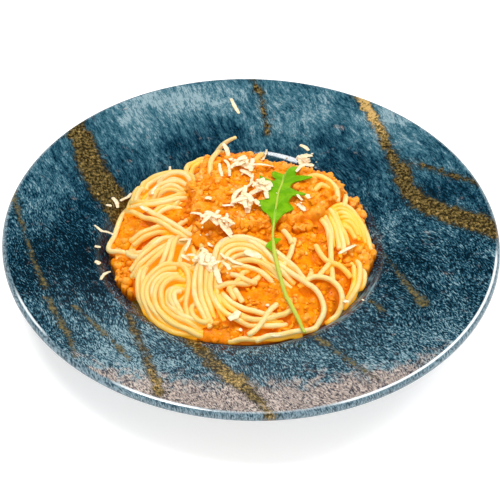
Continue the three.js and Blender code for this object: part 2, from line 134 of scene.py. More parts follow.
def addNode(tree, kind, sockets=None, **settings):
    # a node with its settings; each socket named takes a value or a link from another node
    node = tree.nodes.new(kind)
    for name, value in settings.items():
        setattr(node, name, value)
    for name, value in (sockets or {}).items():
        if isinstance(value, bpy.types.NodeSocket):
            tree.links.new(value, node.inputs[name])
        else:
            node.inputs[name].default_value = value
    return node


def newMaterial(name):
    material = bpy.data.materials.new(name)
    material.use_nodes = True
    material.node_tree.nodes.clear()
    return material, material.node_tree


def laidOver(tree, base, layers):
    # each layer: the value it follows, where it starts and is full, how much it then hides, its colour
    for follows, start, full, most, colour in layers:
        part = addNode(tree, "ShaderNodeMapRange", {"Value": follows, "From Min": start, "From Max": full,
                       "To Max": most}, interpolation_type="SMOOTHSTEP")
        over = linear(colour) if isinstance(colour, str) else colour
        under = linear(base) if isinstance(base, str) else base
        base = addNode(tree, "ShaderNodeMix", {0: part.outputs[0], 6: under, 7: over},
                       data_type="RGBA").outputs[2]
    return base


def addPiece(name, points, faces, material, slot, nodes, **shades):
    # a mesh of millimetre points, smooth shaded, with its per-point values, riding on the one body
    mesh = bpy.data.meshes.new(name)
    corners = [corner for group in faces for corner in np.asarray(group).tolist()]
    mesh.from_pydata((np.asarray(points) * mm).tolist(), [], corners)
    mesh.polygons.foreach_set("use_smooth", np.ones(len(mesh.polygons), bool))
    for shade, values in shades.items():
        layer = mesh.attributes.new(shade, "FLOAT", "POINT")
        layer.data.foreach_set("value", np.asarray(values, np.float32))
    mesh.update()
    piece = bpy.data.objects.new(name, mesh)
    bpy.context.scene.collection.objects.link(piece)
    mesh.materials.append(material)
    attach(piece, "root")
    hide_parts(*nodes)
    print(f"{name}: {sum(len(c) - 2 for c in corners)} triangles")
    return piece


# The plate's section, as the solids have it.
plate = {
    "rimRadius": 135.0, "rimTop": 39.0, "lip": 2.7, "rimThickness": 5.2,
    "wellRadius": 78.0, "wellEdge": 28.0, "wellShift": -6.0, "wellPower": 1.6, "wall": 5.5,
    "floorRadius": 46.0, "floorTop": 8.5,
    "footRadius": 54.0, "footWidth": 6.0, "footHeight": 3.0,
    "edgeRounding": 2.2,      # the glaze rounds the sharp edge of the well
    "topRadii": [(0.5, 60.0, 2.5), (60.0, 83.0, 0.8), (84.0, 131.0, 1.5)],     # from, to and step
    "sides": 460,
}


def dishTop(r):
    # flat floor, then a wall that rises as the power of the way out, then a straight rim
    r = np.asarray(r, float)
    up = np.clip((r - plate["floorRadius"]) / (plate["wellRadius"] - plate["floorRadius"]), 0.0, 1.0)
    out = (r - plate["wellRadius"]) / (plate["rimRadius"] - plate["lip"] - plate["wellRadius"])
    well = plate["floorTop"] + (plate["wellEdge"] - plate["floorTop"]) * up ** plate["wellPower"]
    return well + (plate["rimTop"] - plate["wellEdge"]) * np.clip(out, 0.0, 1.0)


def dishTopAt(x, y):
    return dishTop(np.hypot(x - plate["wellShift"], y))


def cornersCut(points, rounds):
    # each pass puts two points at a quarter and three quarters of every side, so corners turn round
    for _ in range(rounds):
        a, b = points[:-1], points[1:]
        between = np.stack([0.75 * a + 0.25 * b, 0.25 * a + 0.75 * b], axis=1).reshape(-1, 2)
        points = np.vstack([points[:1], between, points[-1:]])
    return points


def plateSection():
    # radius and height from the middle of the floor over the lip to the middle of the underside
    r = np.concatenate([np.arange(*span) for span in plate["topRadii"]])
    soft = plate["edgeRounding"]
    top = np.mean([dishTop(r - soft), dishTop(r), dishTop(r + soft)], axis=0)
    angle = np.radians(np.linspace(100.0, -90.0, 15))
    lip = np.stack([plate["rimRadius"] - plate["lip"] + plate["lip"] * np.cos(angle),
                    plate["rimTop"] - plate["lip"] + plate["lip"] * np.sin(angle)], axis=1)
    foot, step = plate["footRadius"], plate["footWidth"]
    rough = [lip[-1]]
    rough += [(at, float(dishTop(at)) - plate["rimThickness"]) for at in (110.0, plate["wellRadius"] + 7.0)]
    rough += [(at + 0.6 * plate["wall"], float(dishTop(at)) - 0.8 * plate["wall"]) for at in (70.0, 60.0)]
    rough += [(foot + 1.0, plate["footHeight"] + 1.0), (foot, 0.0)]
    under = cornersCut(np.array(rough), 3)
    inside, clear = foot - step, plate["footHeight"]
    ring = np.array([(foot, 0.0), (inside, 0.0), (inside - 1.0, clear), (1.0, clear)])
    inner = np.vstack([ring[:2], cornersCut(ring[1:], 2)[1:]])
    return np.vstack([np.stack([r, top], axis=1), lip, under[1:], inner[1:]])


# Bands in the glaze: half width at the start and the end, and the way across the plate.
veins = {
    "gold": [
        ((2.6, 2.8), [(61, 121), (66, 111), (71, 98), (75, 86), (79, 72), (83, 60)]),
        ((4.0, 7.5), [(83, 62), (87, 46), (93, 34), (102, 25), (112, 18), (122, 12), (136, 3)]),
        ((1.4, 0.8), [(87, 64), (96, 61), (104, 56), (115, 49), (128, 42)]),
        ((5.0, 10.0), [(-106, 88), (-100, 74), (-94, 60), (-88, 47), (-80, 35), (-70, 24)]),
        ((1.0, 0.8), [(-2, 134), (3, 119), (6, 105), (8, 92)]),
        ((3.0, 4.8), [(-30, -74), (-22, -86), (-14, -98), (-5, -108)]),
        ((4.4, 1.2), [(-5, -108), (3, -119), (9, -129), (13, -136)]),
        ((1.2, 2.2), [(-64, -58), (-60, -68), (-53, -88), (-47, -108), (-43, -122)]),
    ],
    "rust": [
        ((2.4, 0.6), [(-134, 24), (-129, 12), (-124, -4)]),
        ((0.6, 1.8), [(-124, -4), (-119, -18), (-113, -34), (-107, -48)]),
        ((2.0, 1.0), [(-105, -56), (-98, -70), (-91, -84), (-86, -98)]),
        ((1.0, 1.0), [(-91, -58), (-80, -70), (-68, -84), (-60, -96)]),
        ((1.6, 1.0), [(33, -68), (42, -80), (52, -93), (64, -106)]),
        ((0.6, 2.4), [(72, -6), (79, -22), (85, -36), (91, -50)]),
        ((1.0, 0.8), [(64, -43), (70, -53)]),
    ],
}
# Where the glaze broke paler, or ran thick and dark: centre, reach, how strongly.
palePatches = [
    ((-70, 106), 30, 1.2), ((-37, 114), 26, 0.9), ((-6, 122), 24, 0.7), ((-120, 46), 22, 0.6),
    ((-122, 20), 16, 0.5), ((34, 108), 28, 1.1), ((78, 100), 18, 1.2), ((104, 66), 20, 0.6),
    ((122, -30), 18, 0.2), ((90, -80), 30, 0.5), ((18, -96), 26, 0.3), ((-57, -82), 26, 0.5),
    ((-66, -106), 22, 1.2), ((-28, -108), 22, 0.2), ((62, -98), 22, 0.4), ((-100, -18), 34, -0.9),
    ((-24, 86), 22, -0.5), ((106, -12), 28, -0.2), ((84, -36), 22, -0.4), ((54, -74), 18, -0.2),
    ((-82, -52), 24, -0.3), ((44, 80), 18, -0.4), ((104, 40), 16, -0.3),
]
# Where the bands are more gold than brown.
goldPatches = [((68, 108), 22, 1.4), ((-7, -106), 12, 0.7), ((-46, -112), 12, 0.7), ((10, -130), 9, 0.6)]
# The rosy crescent along the front of the rim, the glaze's own rose with the glare that the rim reflects
# there
# painted in: its middle bearing in degrees, its inner and outer radius there, how softly it starts, and how
# fast the inner radius grows to either side, per degree squared.
crescent = {"bearing": -86.0, "inner": 108.0, "outer": (135.0, 131.0), "soft": 16.0, "taper": 0.012}
# In the three below, a pair of radii, heights or bearings says where a value starts and where it is full.
# A painted highlight along the top of the lip: first and last bearing in degrees, and how white.
whiteLip = {
    "stretches": [(-156, -141, 0.7), (-119, -100, 0.7), (-100, -70, 0.3), (-70, -6, 0.8)], "soft": 4,
    "inner": (131.9, 132.4), "outer": (133.6, 133.1), "height": (38.0, 38.4),
}
# Pale streaks break the front right of the well's wall: its border, and how long and wide they are.
streaks = {
    "outer": (81.0, 77.5), "inner": (56.0, 68.0), "right": (-0.05, -0.45), "left": (-2.2, -1.2),
    "long": 9.0, "wide": 1.2,
}
# How the glaze runs: how crisp its strokes are at the back and how much more in front, how thin it is,
# how much the pale patches and the crispness change that, and where the lip and the bare clay begin.
run = {
    "crisp": (0.9, 2.3), "crispens": (90.0, -50.0), "thin": -0.35, "pale": 0.3, "held": 0.5,
    "lipRadius": (131.6, 133.4), "lipHeight": (34.0, 35.0),
    "clayHeight": (4.6, 3.6), "clayRadius": (60.0, 56.0),
}


def humps(x, y, patches):
    # sum over the patches of how much times e to the minus (distance / reach) squared
    return sum(much * np.exp(-((x - cx) ** 2 + (y - cy) ** 2) / reach**2)
               for (cx, cy), reach, much in patches)


def distanceToWay(x, y, knots, halfWidths):
    # distance from each point to the nearest piece of the way, less the half width there
    way = curveThrough(knots, 4.0)
    a, b = way[:-1], way[1:]
    step = b - a
    away = np.stack([x, y], axis=-1)[:, None, :] - a[None]
    part = np.clip((away * step).sum(-1) / (step**2).sum(-1), 0.0, 1.0)
    distance = np.linalg.norm(away - part[..., None] * step, axis=-1)
    width = np.interp((np.arange(len(a)) + part) / len(a), (0.0, 1.0), halfWidths)
    return (distance - width).min(axis=1)


def reactiveGlaze():
    # Stoneware dipped in a reactive glaze and fired glossy: deep teal with short pale strokes that
    # lean one way and are crisper towards the diner, gold and rust bands with a dark border, a rosy crescent
    # in front with painted glare, a pale lip where the glaze runs thin with a painted highlight along its
    # top, and bare clay under the foot.
    material, tree = newMaterial("reactiveGlazedStoneware")
    place = addNode(tree, "ShaderNodeTexCoord").outputs["Object"]
    shade = {name: addNode(tree, "ShaderNodeAttribute", attribute_name=name).outputs["Fac"]
             for name in ("goldEdge", "rustEdge", "golden", "thin", "crisp", "rose", "breaking", "lip",
                          "white", "clay")}
    broad = addNode(tree, "ShaderNodeTexNoise", {"Vector": place, "Scale": 1 / (40 * mm), "Detail": 1.0})
    drift = addNode(tree, "ShaderNodeVectorMath", {0: broad.outputs["Color"], 1: (0.5, 0.5, 0.5)},
                    operation="SUBTRACT")
    drift = addNode(tree, "ShaderNodeVectorMath", {0: drift.outputs[0], "Scale": 14 * mm}, operation="SCALE")
    swept = addNode(tree, "ShaderNodeVectorMath", {0: place, 1: drift.outputs[0]}, operation="ADD").outputs[0]
    short, long = (addNode(tree, "ShaderNodeMapping", {"Vector": swept, "Rotation": (0, 0, math.radians(-62)),
                           "Scale": (length * mm, width * mm, length * mm)}, vector_type="TEXTURE").outputs[0]
                   for length, width in ((1.9, 0.65), (7.0, 2.6)))
    aroundWell = addNode(tree, "ShaderNodeAttribute", attribute_name="turned").outputs["Vector"]
    # noises: what each runs over, grains in a metre or a stroke, detail and roughness
    for name, over, scale, detail, rough in (
            ("fine", short, 1.0, 3.0, 0.6), ("broad", long, 1.0, 3.0, 0.6),
            ("combed", aroundWell, 1.0, 3.0, 0.6), ("specks", place, 1 / (1.6 * mm), 3.0, 0.6),
            ("clouds", place, 1 / (22 * mm), 3.0, 0.5), ("gaps", swept, 1 / (6 * mm), 4.0, 0.65)):
        shade[name] = addNode(tree, "ShaderNodeTexNoise", {"Vector": over, "Scale": scale, "Detail": detail,
                              "Roughness": rough}).outputs["Fac"]
    # each of these becomes one value times its weight, added to another: thin takes fine strokes, broader
    # runs and clouds, and the borders of the bands turn ragged
    for name, value, weight, added in (
            ("thin", "fine", shade["crisp"], "thin"), ("thin", "broad", 1.0, "thin"),
            ("thin", "clouds", 0.7, "thin"), ("rose", "gaps", 2.2, "rose"),
            ("breaking", "combed", 0.6, "breaking"), ("ragged", "fine", 0.5, "gaps"),
            ("goldEdge", "ragged", 12.0, "goldEdge"), ("rustEdge", "ragged", 9.0, "rustEdge"),
            ("flecks", "fine", 0.6, "specks"), ("flecks", "golden", 0.2, "flecks")):
        shade[name] = addNode(tree, "ShaderNodeMath", {0: shade[value], 1: weight, 2: shade[added]},
                              operation="MULTIPLY_ADD").outputs[0]
    fine, specks, flecks = shade["fine"], shade["specks"], shade["flecks"]
    rosyBody = laidOver(tree, "#302F3A", [
        (fine, 0.36, 0.58, 1.0, "#A69489"),
        (flecks, 0.84, 0.96, 0.8, "#CCBBAE"),
    ])
    brokenBody = laidOver(tree, "#0C202C", [(shade["combed"], 0.35, 0.68, 1.0, "#66909E")])
    lipBody = laidOver(tree, "#24404C", [(fine, 0.36, 0.6, 1.0, "#788E98")])
    goldBody = laidOver(tree, "#261F0E", [
        (specks, 0.34, 0.66, 0.8, "#443A1E"),
        (flecks, 0.74, 1.00, 0.9, "#806C3E"),
        (flecks, 0.94, 1.10, 1.0, "#BE9C60"),
    ])
    rustBody = laidOver(tree, "#26271E", [(specks, 0.36, 0.64, 1.0, "#76683E")])
    grit = laidOver(tree, "#A3937F", [(specks, 0.4, 0.6, 1.0, "#C7BAA6")])
    body = laidOver(tree, "#01111A", [
        (shade["thin"], 0.06, 0.34, 1.0, "#00202F"),
        (shade["thin"], 0.30, 0.56, 1.0, "#14394A"),
        (shade["thin"], 0.50, 0.76, 1.0, "#386270"),
        (shade["thin"], 0.72, 1.05, 1.0, "#849CA3"),
        # the rosy crescent: the glaze's own rose with painted glare from the front rim's reflection
        (shade["rose"], 1.3, 2.0, 0.85, rosyBody),
        (shade["breaking"], 0.65, 1.2, 0.9, brokenBody),
        (shade["lip"], 0.2, 0.8, 0.85, lipBody),
        (shade["goldEdge"], 12.4, 9.2, 0.6, "#181C16"),
        (shade["goldEdge"], 10.2, 7.8, 1.0, goldBody),
        (shade["rustEdge"], 9.2, 6.4, 0.5, "#0E1A1A"),
        (shade["rustEdge"], 7.4, 5.2, 0.9, rustBody),
        # painted highlight along the top of the lip
        (shade["white"], 0.0, 1.0, 1.0, "#E6ECEF"),
        (shade["clay"], 0.0, 1.0, 1.0, grit),
    ])
    sheen = addNode(tree, "ShaderNodeMapRange", {"Value": fine, "From Min": 0.4, "From Max": 0.7,
                    "To Min": 0.06, "To Max": 0.14}).outputs[0]
    matt = addNode(tree, "ShaderNodeMath", {0: shade["clay"], 1: 0.7, 2: sheen}, operation="MULTIPLY_ADD")
    relief = addNode(tree, "ShaderNodeBump", {"Height": fine, "Strength": 0.1, "Distance": 0.1 * mm})
    glaze = addNode(tree, "ShaderNodeBsdfPrincipled", {"Base Color": body, "Roughness": matt.outputs[0],
                    "IOR": 1.52, "Specular IOR Level": 0.5, "Normal": relief.outputs[0]})
    addNode(tree, "ShaderNodeOutputMaterial", {"Surface": glaze.outputs[0]})
    return material


def makePlate():
    # radius and height of the section, carried round the axis; the well's circle moves sideways by wellShift
    section = plateSection()
    angle = np.linspace(0.0, 2 * math.pi, plate["sides"], endpoint=False)
    r, z = section[:, 0][:, None], section[:, 1][:, None]
    shift = plate["wellShift"] * (1 - smooth(plate["wellRadius"], plate["rimRadius"], r))
    points = np.stack([r * np.cos(angle) + shift, r * np.sin(angle), z + 0 * angle], axis=-1).reshape(-1, 3)
    points = np.vstack([points, *((plate["wellShift"], 0, section[k, 1]) for k in (0, -1))])
    x, y, z = points.T
    radius, around = np.hypot(x, y), np.degrees(np.arctan2(y, x))
    gold, rust = (np.min([distanceToWay(x, y, way, widths) for widths, way in veins[tone]], axis=0)
                  for tone in ("gold", "rust"))
    pale, golden = (humps(x, y, patches) for patches in (palePatches, goldPatches))
    crisp = run["crisp"][0] + run["crisp"][1] * smooth(*run["crispens"], y)
    # the rosy crescent, glaze colour with painted glare
    inner = crescent["inner"] + crescent["taper"] * (around - crescent["bearing"]) ** 2
    rose = smooth(inner - crescent["soft"], inner + crescent["soft"], radius)
    rose = rose * smooth(*crescent["outer"], radius)
    inWell = np.hypot(x - plate["wellShift"], y)
    bearing = np.arctan2(y, x - plate["wellShift"])
    breaking = smooth(*streaks["outer"], inWell) * smooth(*streaks["inner"], inWell)
    breaking *= smooth(*streaks["right"], bearing) * smooth(*streaks["left"], bearing)
    lip = smooth(*run["lipRadius"], radius) * smooth(*run["lipHeight"], z)
    # painted highlight along the top of the lip, over the listed stretches of bearing
    white = smooth(*whiteLip["inner"], radius) * smooth(*whiteLip["outer"], radius)
    white = white * smooth(*whiteLip["height"], z)
    soft = whiteLip["soft"]
    white = white * sum(much * smooth(a - soft, a + soft, around) * smooth(b + soft, b - soft, around)
                        for a, b, much in whiteLip["stretches"])
    clay = smooth(*run["clayHeight"], z) * smooth(*run["clayRadius"], radius)
    # the way round the well is stretched for the streaks, the way out is not
    turned = np.stack([x, y, 0 * x], axis=1) / np.maximum(inWell, 1.0)[:, None]
    turned *= plate["wellRadius"] / streaks["long"]
    turned[:, 2] = inWell / streaks["wide"]
    piece = addPiece("glazedPlate", points, ringFaces(len(section), plate["sides"]), reactiveGlaze(), "glaze",
                     ["plate"], goldEdge=np.clip(gold, -12, 12), rustEdge=np.clip(rust, -12, 12),
                     thin=run["thin"] + run["pale"] * pale - run["held"] * crisp, crisp=crisp, rose=rose,
                     breaking=breaking, lip=lip, white=white, golden=golden, clay=clay)
    layer = piece.data.attributes.new("turned", "FLOAT_VECTOR", "POINT")
    layer.data.foreach_set("vector", turned.astype(np.float32).ravel())


makePlate()

# A square of heights that everything edible is laid on, one value every half millimetre.
cell, half = 0.5, 98.0
gridLine = np.arange(-half, half + 0.1, cell)
gridX, gridY = np.meshgrid(gridLine, gridLine)
heap = {
    "centre": (-4.0, -2.0), "crown": 42.5,
    # how far the heap reaches at each bearing from its centre, in degrees from the right
    "edge": [(-180, 73.5), (-172, 75), (-160, 71.5), (-146, 70.5), (-136, 71.5), (-125, 76), (-110, 78),
             (-90, 78), (-75, 77), (-62, 75), (-50, 71), (-40, 67.5), (-25, 66.5), (-12, 69.5), (-4, 72.5),
             (10, 71.5), (24, 72.5), (33, 72), (45, 71.5), (52, 70.5), (60, 66), (68, 65.5), (76, 67),
             (84, 70), (92, 71.5), (120, 72), (150, 73), (165, 72.5)],
    "edgeHeight": 7.0,         # of the border above the plate
    "coreInset": 5.0, "coreSink": 8.0,     # what the noodles lie on: inside the border, and under the outline
}


def reachAt(x, y):
    # how far the heap reaches at the bearing of each point
    bearing = np.degrees(np.arctan2(y - heap["centre"][1], x - heap["centre"][0]))
    return np.interp(bearing, *zip(*heap["edge"]), period=360)


def heapTop(x, y):
    # falls as a power of the way out from the crown: gently towards the diner, steeply at the back
    dx, dy = x - heap["centre"][0], y - heap["centre"][1]
    away, reach = np.maximum(np.hypot(dx, dy), 1e-6), reachAt(x, y)
    back = smooth(-0.2, 0.9, dy / away)
    border = dishTopAt(heap["centre"][0] + reach * dx / away, heap["centre"][1] + reach * dy / away)
    low = np.minimum(plate["wellEdge"], border + heap["edgeHeight"])
    return low + (heap["crown"] - low) * (1 - np.minimum(away / reach, 1.1) ** (2.2 + 3 * back))


def cellsNear(points, reach):
    # the grid cells within reach of each point, and how far each is from it
    n = int(math.ceil(reach / cell))
    dj, di = (offset.ravel() for offset in np.mgrid[-n:n + 1, -n:n + 1])
    middle = np.round((np.asarray(points)[:, :2] + half) / cell).astype(int)
    i = np.clip(middle[:, 0, None] + di, 0, len(gridLine) - 1)
    j = np.clip(middle[:, 1, None] + dj, 0, len(gridLine) - 1)
    away = np.hypot(gridLine[i] - points[:, 0, None], gridLine[j] - points[:, 1, None])
    return j, i, away


def restOn(field, points, radius):
    # lowest height of a ball's middle that clears the field below it
    j, i, away = cellsNear(points, radius)
    clear = np.where(away <= radius, field[j, i] + np.sqrt(np.maximum(radius**2 - away**2, 0.0)), -1e9)
    return clear.max(axis=1)


def layBalls(field, points, radius):
    # raises the field to the upper half of a ball at each point
    j, i, away = cellsNear(points, float(np.max(radius)))
    size = np.broadcast_to(np.asarray(radius, float), (len(points),))[:, None]
    high = np.where(away <= size, points[:, 2, None] + np.sqrt(np.maximum(size**2 - away**2, 0.0)), -1e9)
    np.maximum.at(field, (j, i), high)


def fourWayMean(values, i, j, a, b):
    # between four neighbouring values: a of the way from column i to the next, b of the way from row j
    return (values[j, i] * (1 - a) * (1 - b) + values[j, i + 1] * a * (1 - b)
            + values[j + 1, i] * (1 - a) * b + values[j + 1, i + 1] * a * b)


def lookUp(field, x, y):
    # height of the field between its cells
    u, v = (np.clip((np.asarray(k) + half) / cell, 0, len(gridLine) - 1.001) for k in (x, y))
    i, j = u.astype(int), v.astype(int)
    return fourWayMean(field, i, j, u - i, v - j)


def sagged(heights, spacing, bend):
    # the lowest curve over the given heights that bends no more than the strand does
    step = spacing * (np.arange(len(heights))[:, None] - np.arange(len(heights))[None, :])
    return (heights[None, :] - bend * step**2).max(axis=1)


def latticeNoise(seed, size):
    # random values every size millimetres, eased between, from -1 to 1
    random = np.random.default_rng(seed)
    count = int(2 * half / size) + 3
    values = random.uniform(-1, 1, (count, count))
    u, v = (gridX + half) / size, (gridY + half) / size
    i, j = u.astype(int), v.astype(int)
    return fourWayMean(values, i, j, smooth(0, 1, u - i), smooth(0, 1, v - j))


def neighbours(field):
    # the field moved by one cell each way, and itself
    grown = np.pad(field, 1, mode="edge")
    return [grown[b:b + field.shape[0], a:a + field.shape[1]] for a in range(3) for b in range(3)]


def softened(field, rounds):
    # each pass gives a cell the mean of itself and its neighbours
    for _ in range(rounds):
        field = sum(neighbours(field)) / 9
    return field


def draped(field, rounds):
    # each pass gives a cell the greatest of itself and its neighbours; the result is then softened
    for _ in range(rounds):
        field = np.max(neighbours(field), axis=0)
    return softened(field, 2 * rounds)


inHeap = reachAt(gridX, gridY) - np.hypot(gridX - heap["centre"][0], gridY - heap["centre"][1])
heapHeight = heapTop(gridX, gridY)
dishField = dishTopAt(gridX, gridY)
coreHeight = heapHeight - heap["coreSink"] * smooth(0.0, 11.0, inHeap) - 1.0
field = np.where(inHeap > heap["coreInset"], np.maximum(dishField, coreHeight), dishField)


def closedSlab(top, bottom, keep):
    # upper sheet over the kept cells, lower sheet turned over, and a wall along every open side
    rows, columns = top.shape
    j, i = np.nonzero(keep[:-1, :-1] & keep[1:, :-1] & keep[:-1, 1:] & keep[1:, 1:])
    corner = j * columns + i
    quads = np.stack([corner, corner + 1, corner + columns + 1, corner + columns], axis=1)
    sides = np.concatenate([quads[:, [k, (k + 1) % 4]] for k in range(4)])
    key = sides.min(1) * rows * columns + sides.max(1)
    _, first, times = np.unique(key, return_index=True, return_counts=True)
    rim = sides[first[times == 1]]
    used, packed = np.unique(quads, return_inverse=True)
    quads = packed.reshape(quads.shape)
    rim = np.searchsorted(used, rim)
    n = len(used)
    points = np.vstack([np.stack([grid.ravel()[used] for grid in (gridX, gridY, sheet)], axis=1)
                        for sheet in (top, bottom)])
    wall = np.stack([rim[:, 1], rim[:, 0], rim[:, 0] + n, rim[:, 1] + n], axis=1)
    return points, [quads, quads[:, ::-1] + n, wall]


noodle = {
    "radius": 1.5, "press": 0.6,      # cooked spaghetti, pressed a little into what it lies on
    "bend": 0.03,                     # how sharply it follows what is under it, per millimetre
    "step": 1.3, "sides": 10, "lowStep": 1.8, "lowSides": 8,
    "dip": 2.6, "dipLength": 8.0,     # a closed end goes down into the heap, over its last stretch
    "tip": {"ring": 0.35, "size": 0.72, "point": 0.12},     # of a strand's domed end, in its radius
}


def tubes(strands, radius, sides, side=(0.0, 0.0, 1.0), flat=1.0):
    # a ring round every point of every strand: point + radius (cos a across + flat sin a up), and a smaller
    # ring and a point beyond either end; with them a random tint for each strand, and sin a for each point
    points, faces, tint, crest, start = [], [], [], [], 0
    angle = np.linspace(0.0, 2 * math.pi, sides, endpoint=False)[None, :, None]
    random = np.random.default_rng(5)
    tip = noodle["tip"]
    sizes = radius if isinstance(radius, list) else [radius] * len(strands)
    for path, size in zip(strands, sizes):
        ahead = toUnit(np.gradient(path, axis=0))
        across = toUnit(np.cross(ahead, side))
        up = np.cross(across, ahead)
        size = np.broadcast_to(size, (len(path),)).astype(float)
        beyond = tip["ring"] * flat * size[[0, -1], None] * ahead[[0, -1]]
        line = np.vstack([path[0] - beyond[0], path, path[-1] + beyond[1]])
        size = np.r_[tip["size"] * size[0], size, tip["size"] * size[-1]]
        across, up = (np.vstack([k[:1], k, k[-1:]]) for k in (across, up))
        ring = across[:, None] * np.cos(angle) + flat * up[:, None] * np.sin(angle)
        body = (line[:, None] + size[:, None, None] * ring).reshape(-1, 3)
        beyond = tip["point"] * size[[0, -1], None] * ahead[[0, -1]]
        points.append(np.vstack([body, line[0] - beyond[0], line[-1] + beyond[1]]))
        faces += [group + start for group in ringFaces(len(line), sides)]
        start += len(body) + 2
        tint.append(np.full(len(body) + 2, random.random()))
        crest.append(np.r_[np.tile(np.sin(angle).ravel(), len(line)), 0.0, 0.0])
    return np.vstack(points), faces, np.concatenate(tint), np.concatenate(crest)


def laid(way, field, ceiling, dip=0.0):
    # a strand over its way in plan: it rests on the field, sags no more than its bend, and is then part of
    # it; it stays under the heap's outline plus the ceiling, and its ends dip
    way = curveThrough(way, 1.0)
    rest = restOn(field, way, noodle["radius"]) - noodle["press"]
    allowed = np.maximum(lookUp(heapHeight, *way.T) + ceiling, restOn(dishField, way, noodle["radius"]))
    high = sagged(np.minimum(rest, allowed), 1.0, noodle["bend"])
    toEnd = np.minimum(np.arange(len(way)), np.arange(len(way))[::-1])
    path = np.column_stack([way, high - dip * smooth(noodle["dipLength"], 0.0, toEnd)])
    layBalls(field, path, noodle["radius"])
    return path


def thinned(path, step):
    # a smooth curve through every other point
    return curveThrough(path[::2] if len(path) > 6 else path, step)


# Strands that fill the heap: arcs that wander round it, seeded, laid first and kept under the outline.
filling = {
    "strands": 110, "ring": 30, "ringInset": (4.0, 11.0), "inset": 3.5,   # clear of the heap's border
    "length": (38.0, 95.0), "turn": (9.0, 30.0), "stride": 4.0, "seed": 11, "ceiling": -3.4,
}


def wanderingWays():
    # heading turns by step over the radius of turn, which changes along the way; strays are drawn back inside
    random = np.random.default_rng(filling["seed"])
    ways, centre, stride = [], np.array(heap["centre"]), filling["stride"]
    for number in range(filling["strands"] + filling["ring"]):
        onRing = number < filling["ring"]
        angle = random.uniform(0, 2 * math.pi)
        towards = np.array([math.cos(angle), math.sin(angle)])
        reach = float(reachAt(*(centre + towards)))
        inset = random.uniform(*filling["ringInset"])
        out = reach - inset if onRing else (reach - 6.0) * math.sqrt(random.uniform(0.02, 1.0))
        steps = int(random.uniform(*filling["length"]) / stride)
        place = centre + out * towards
        way = random.choice([-1.0, 1.0])
        heading = angle + way * math.pi / 2 + (0 if onRing else random.normal(0, 0.6))
        bend = way * random.uniform(1 / filling["turn"][1], 1 / filling["turn"][0])
        line = []
        for _ in range(steps):
            line.append(place.copy())
            bend = bend * 0.9 + 0.1 * way * random.uniform(0.0, 1 / filling["turn"][0])
            heading += (way / out if onRing else bend) * stride
            place = place + stride * np.array([math.cos(heading), math.sin(heading)])
            away = place - centre
            far, most = np.hypot(*away), float(reachAt(*place)) - filling["inset"]
            if far > most:
                place = centre + away * most / far
                heading = math.atan2(away[1], away[0]) + way * math.pi / 2
        ways.append(np.array(line))
    return ways


lowStrands = [thinned(laid(way, field, filling["ceiling"]), noodle["lowStep"]) for way in wanderingWays()]
print("filling laid:", len(lowStrands), "strands")

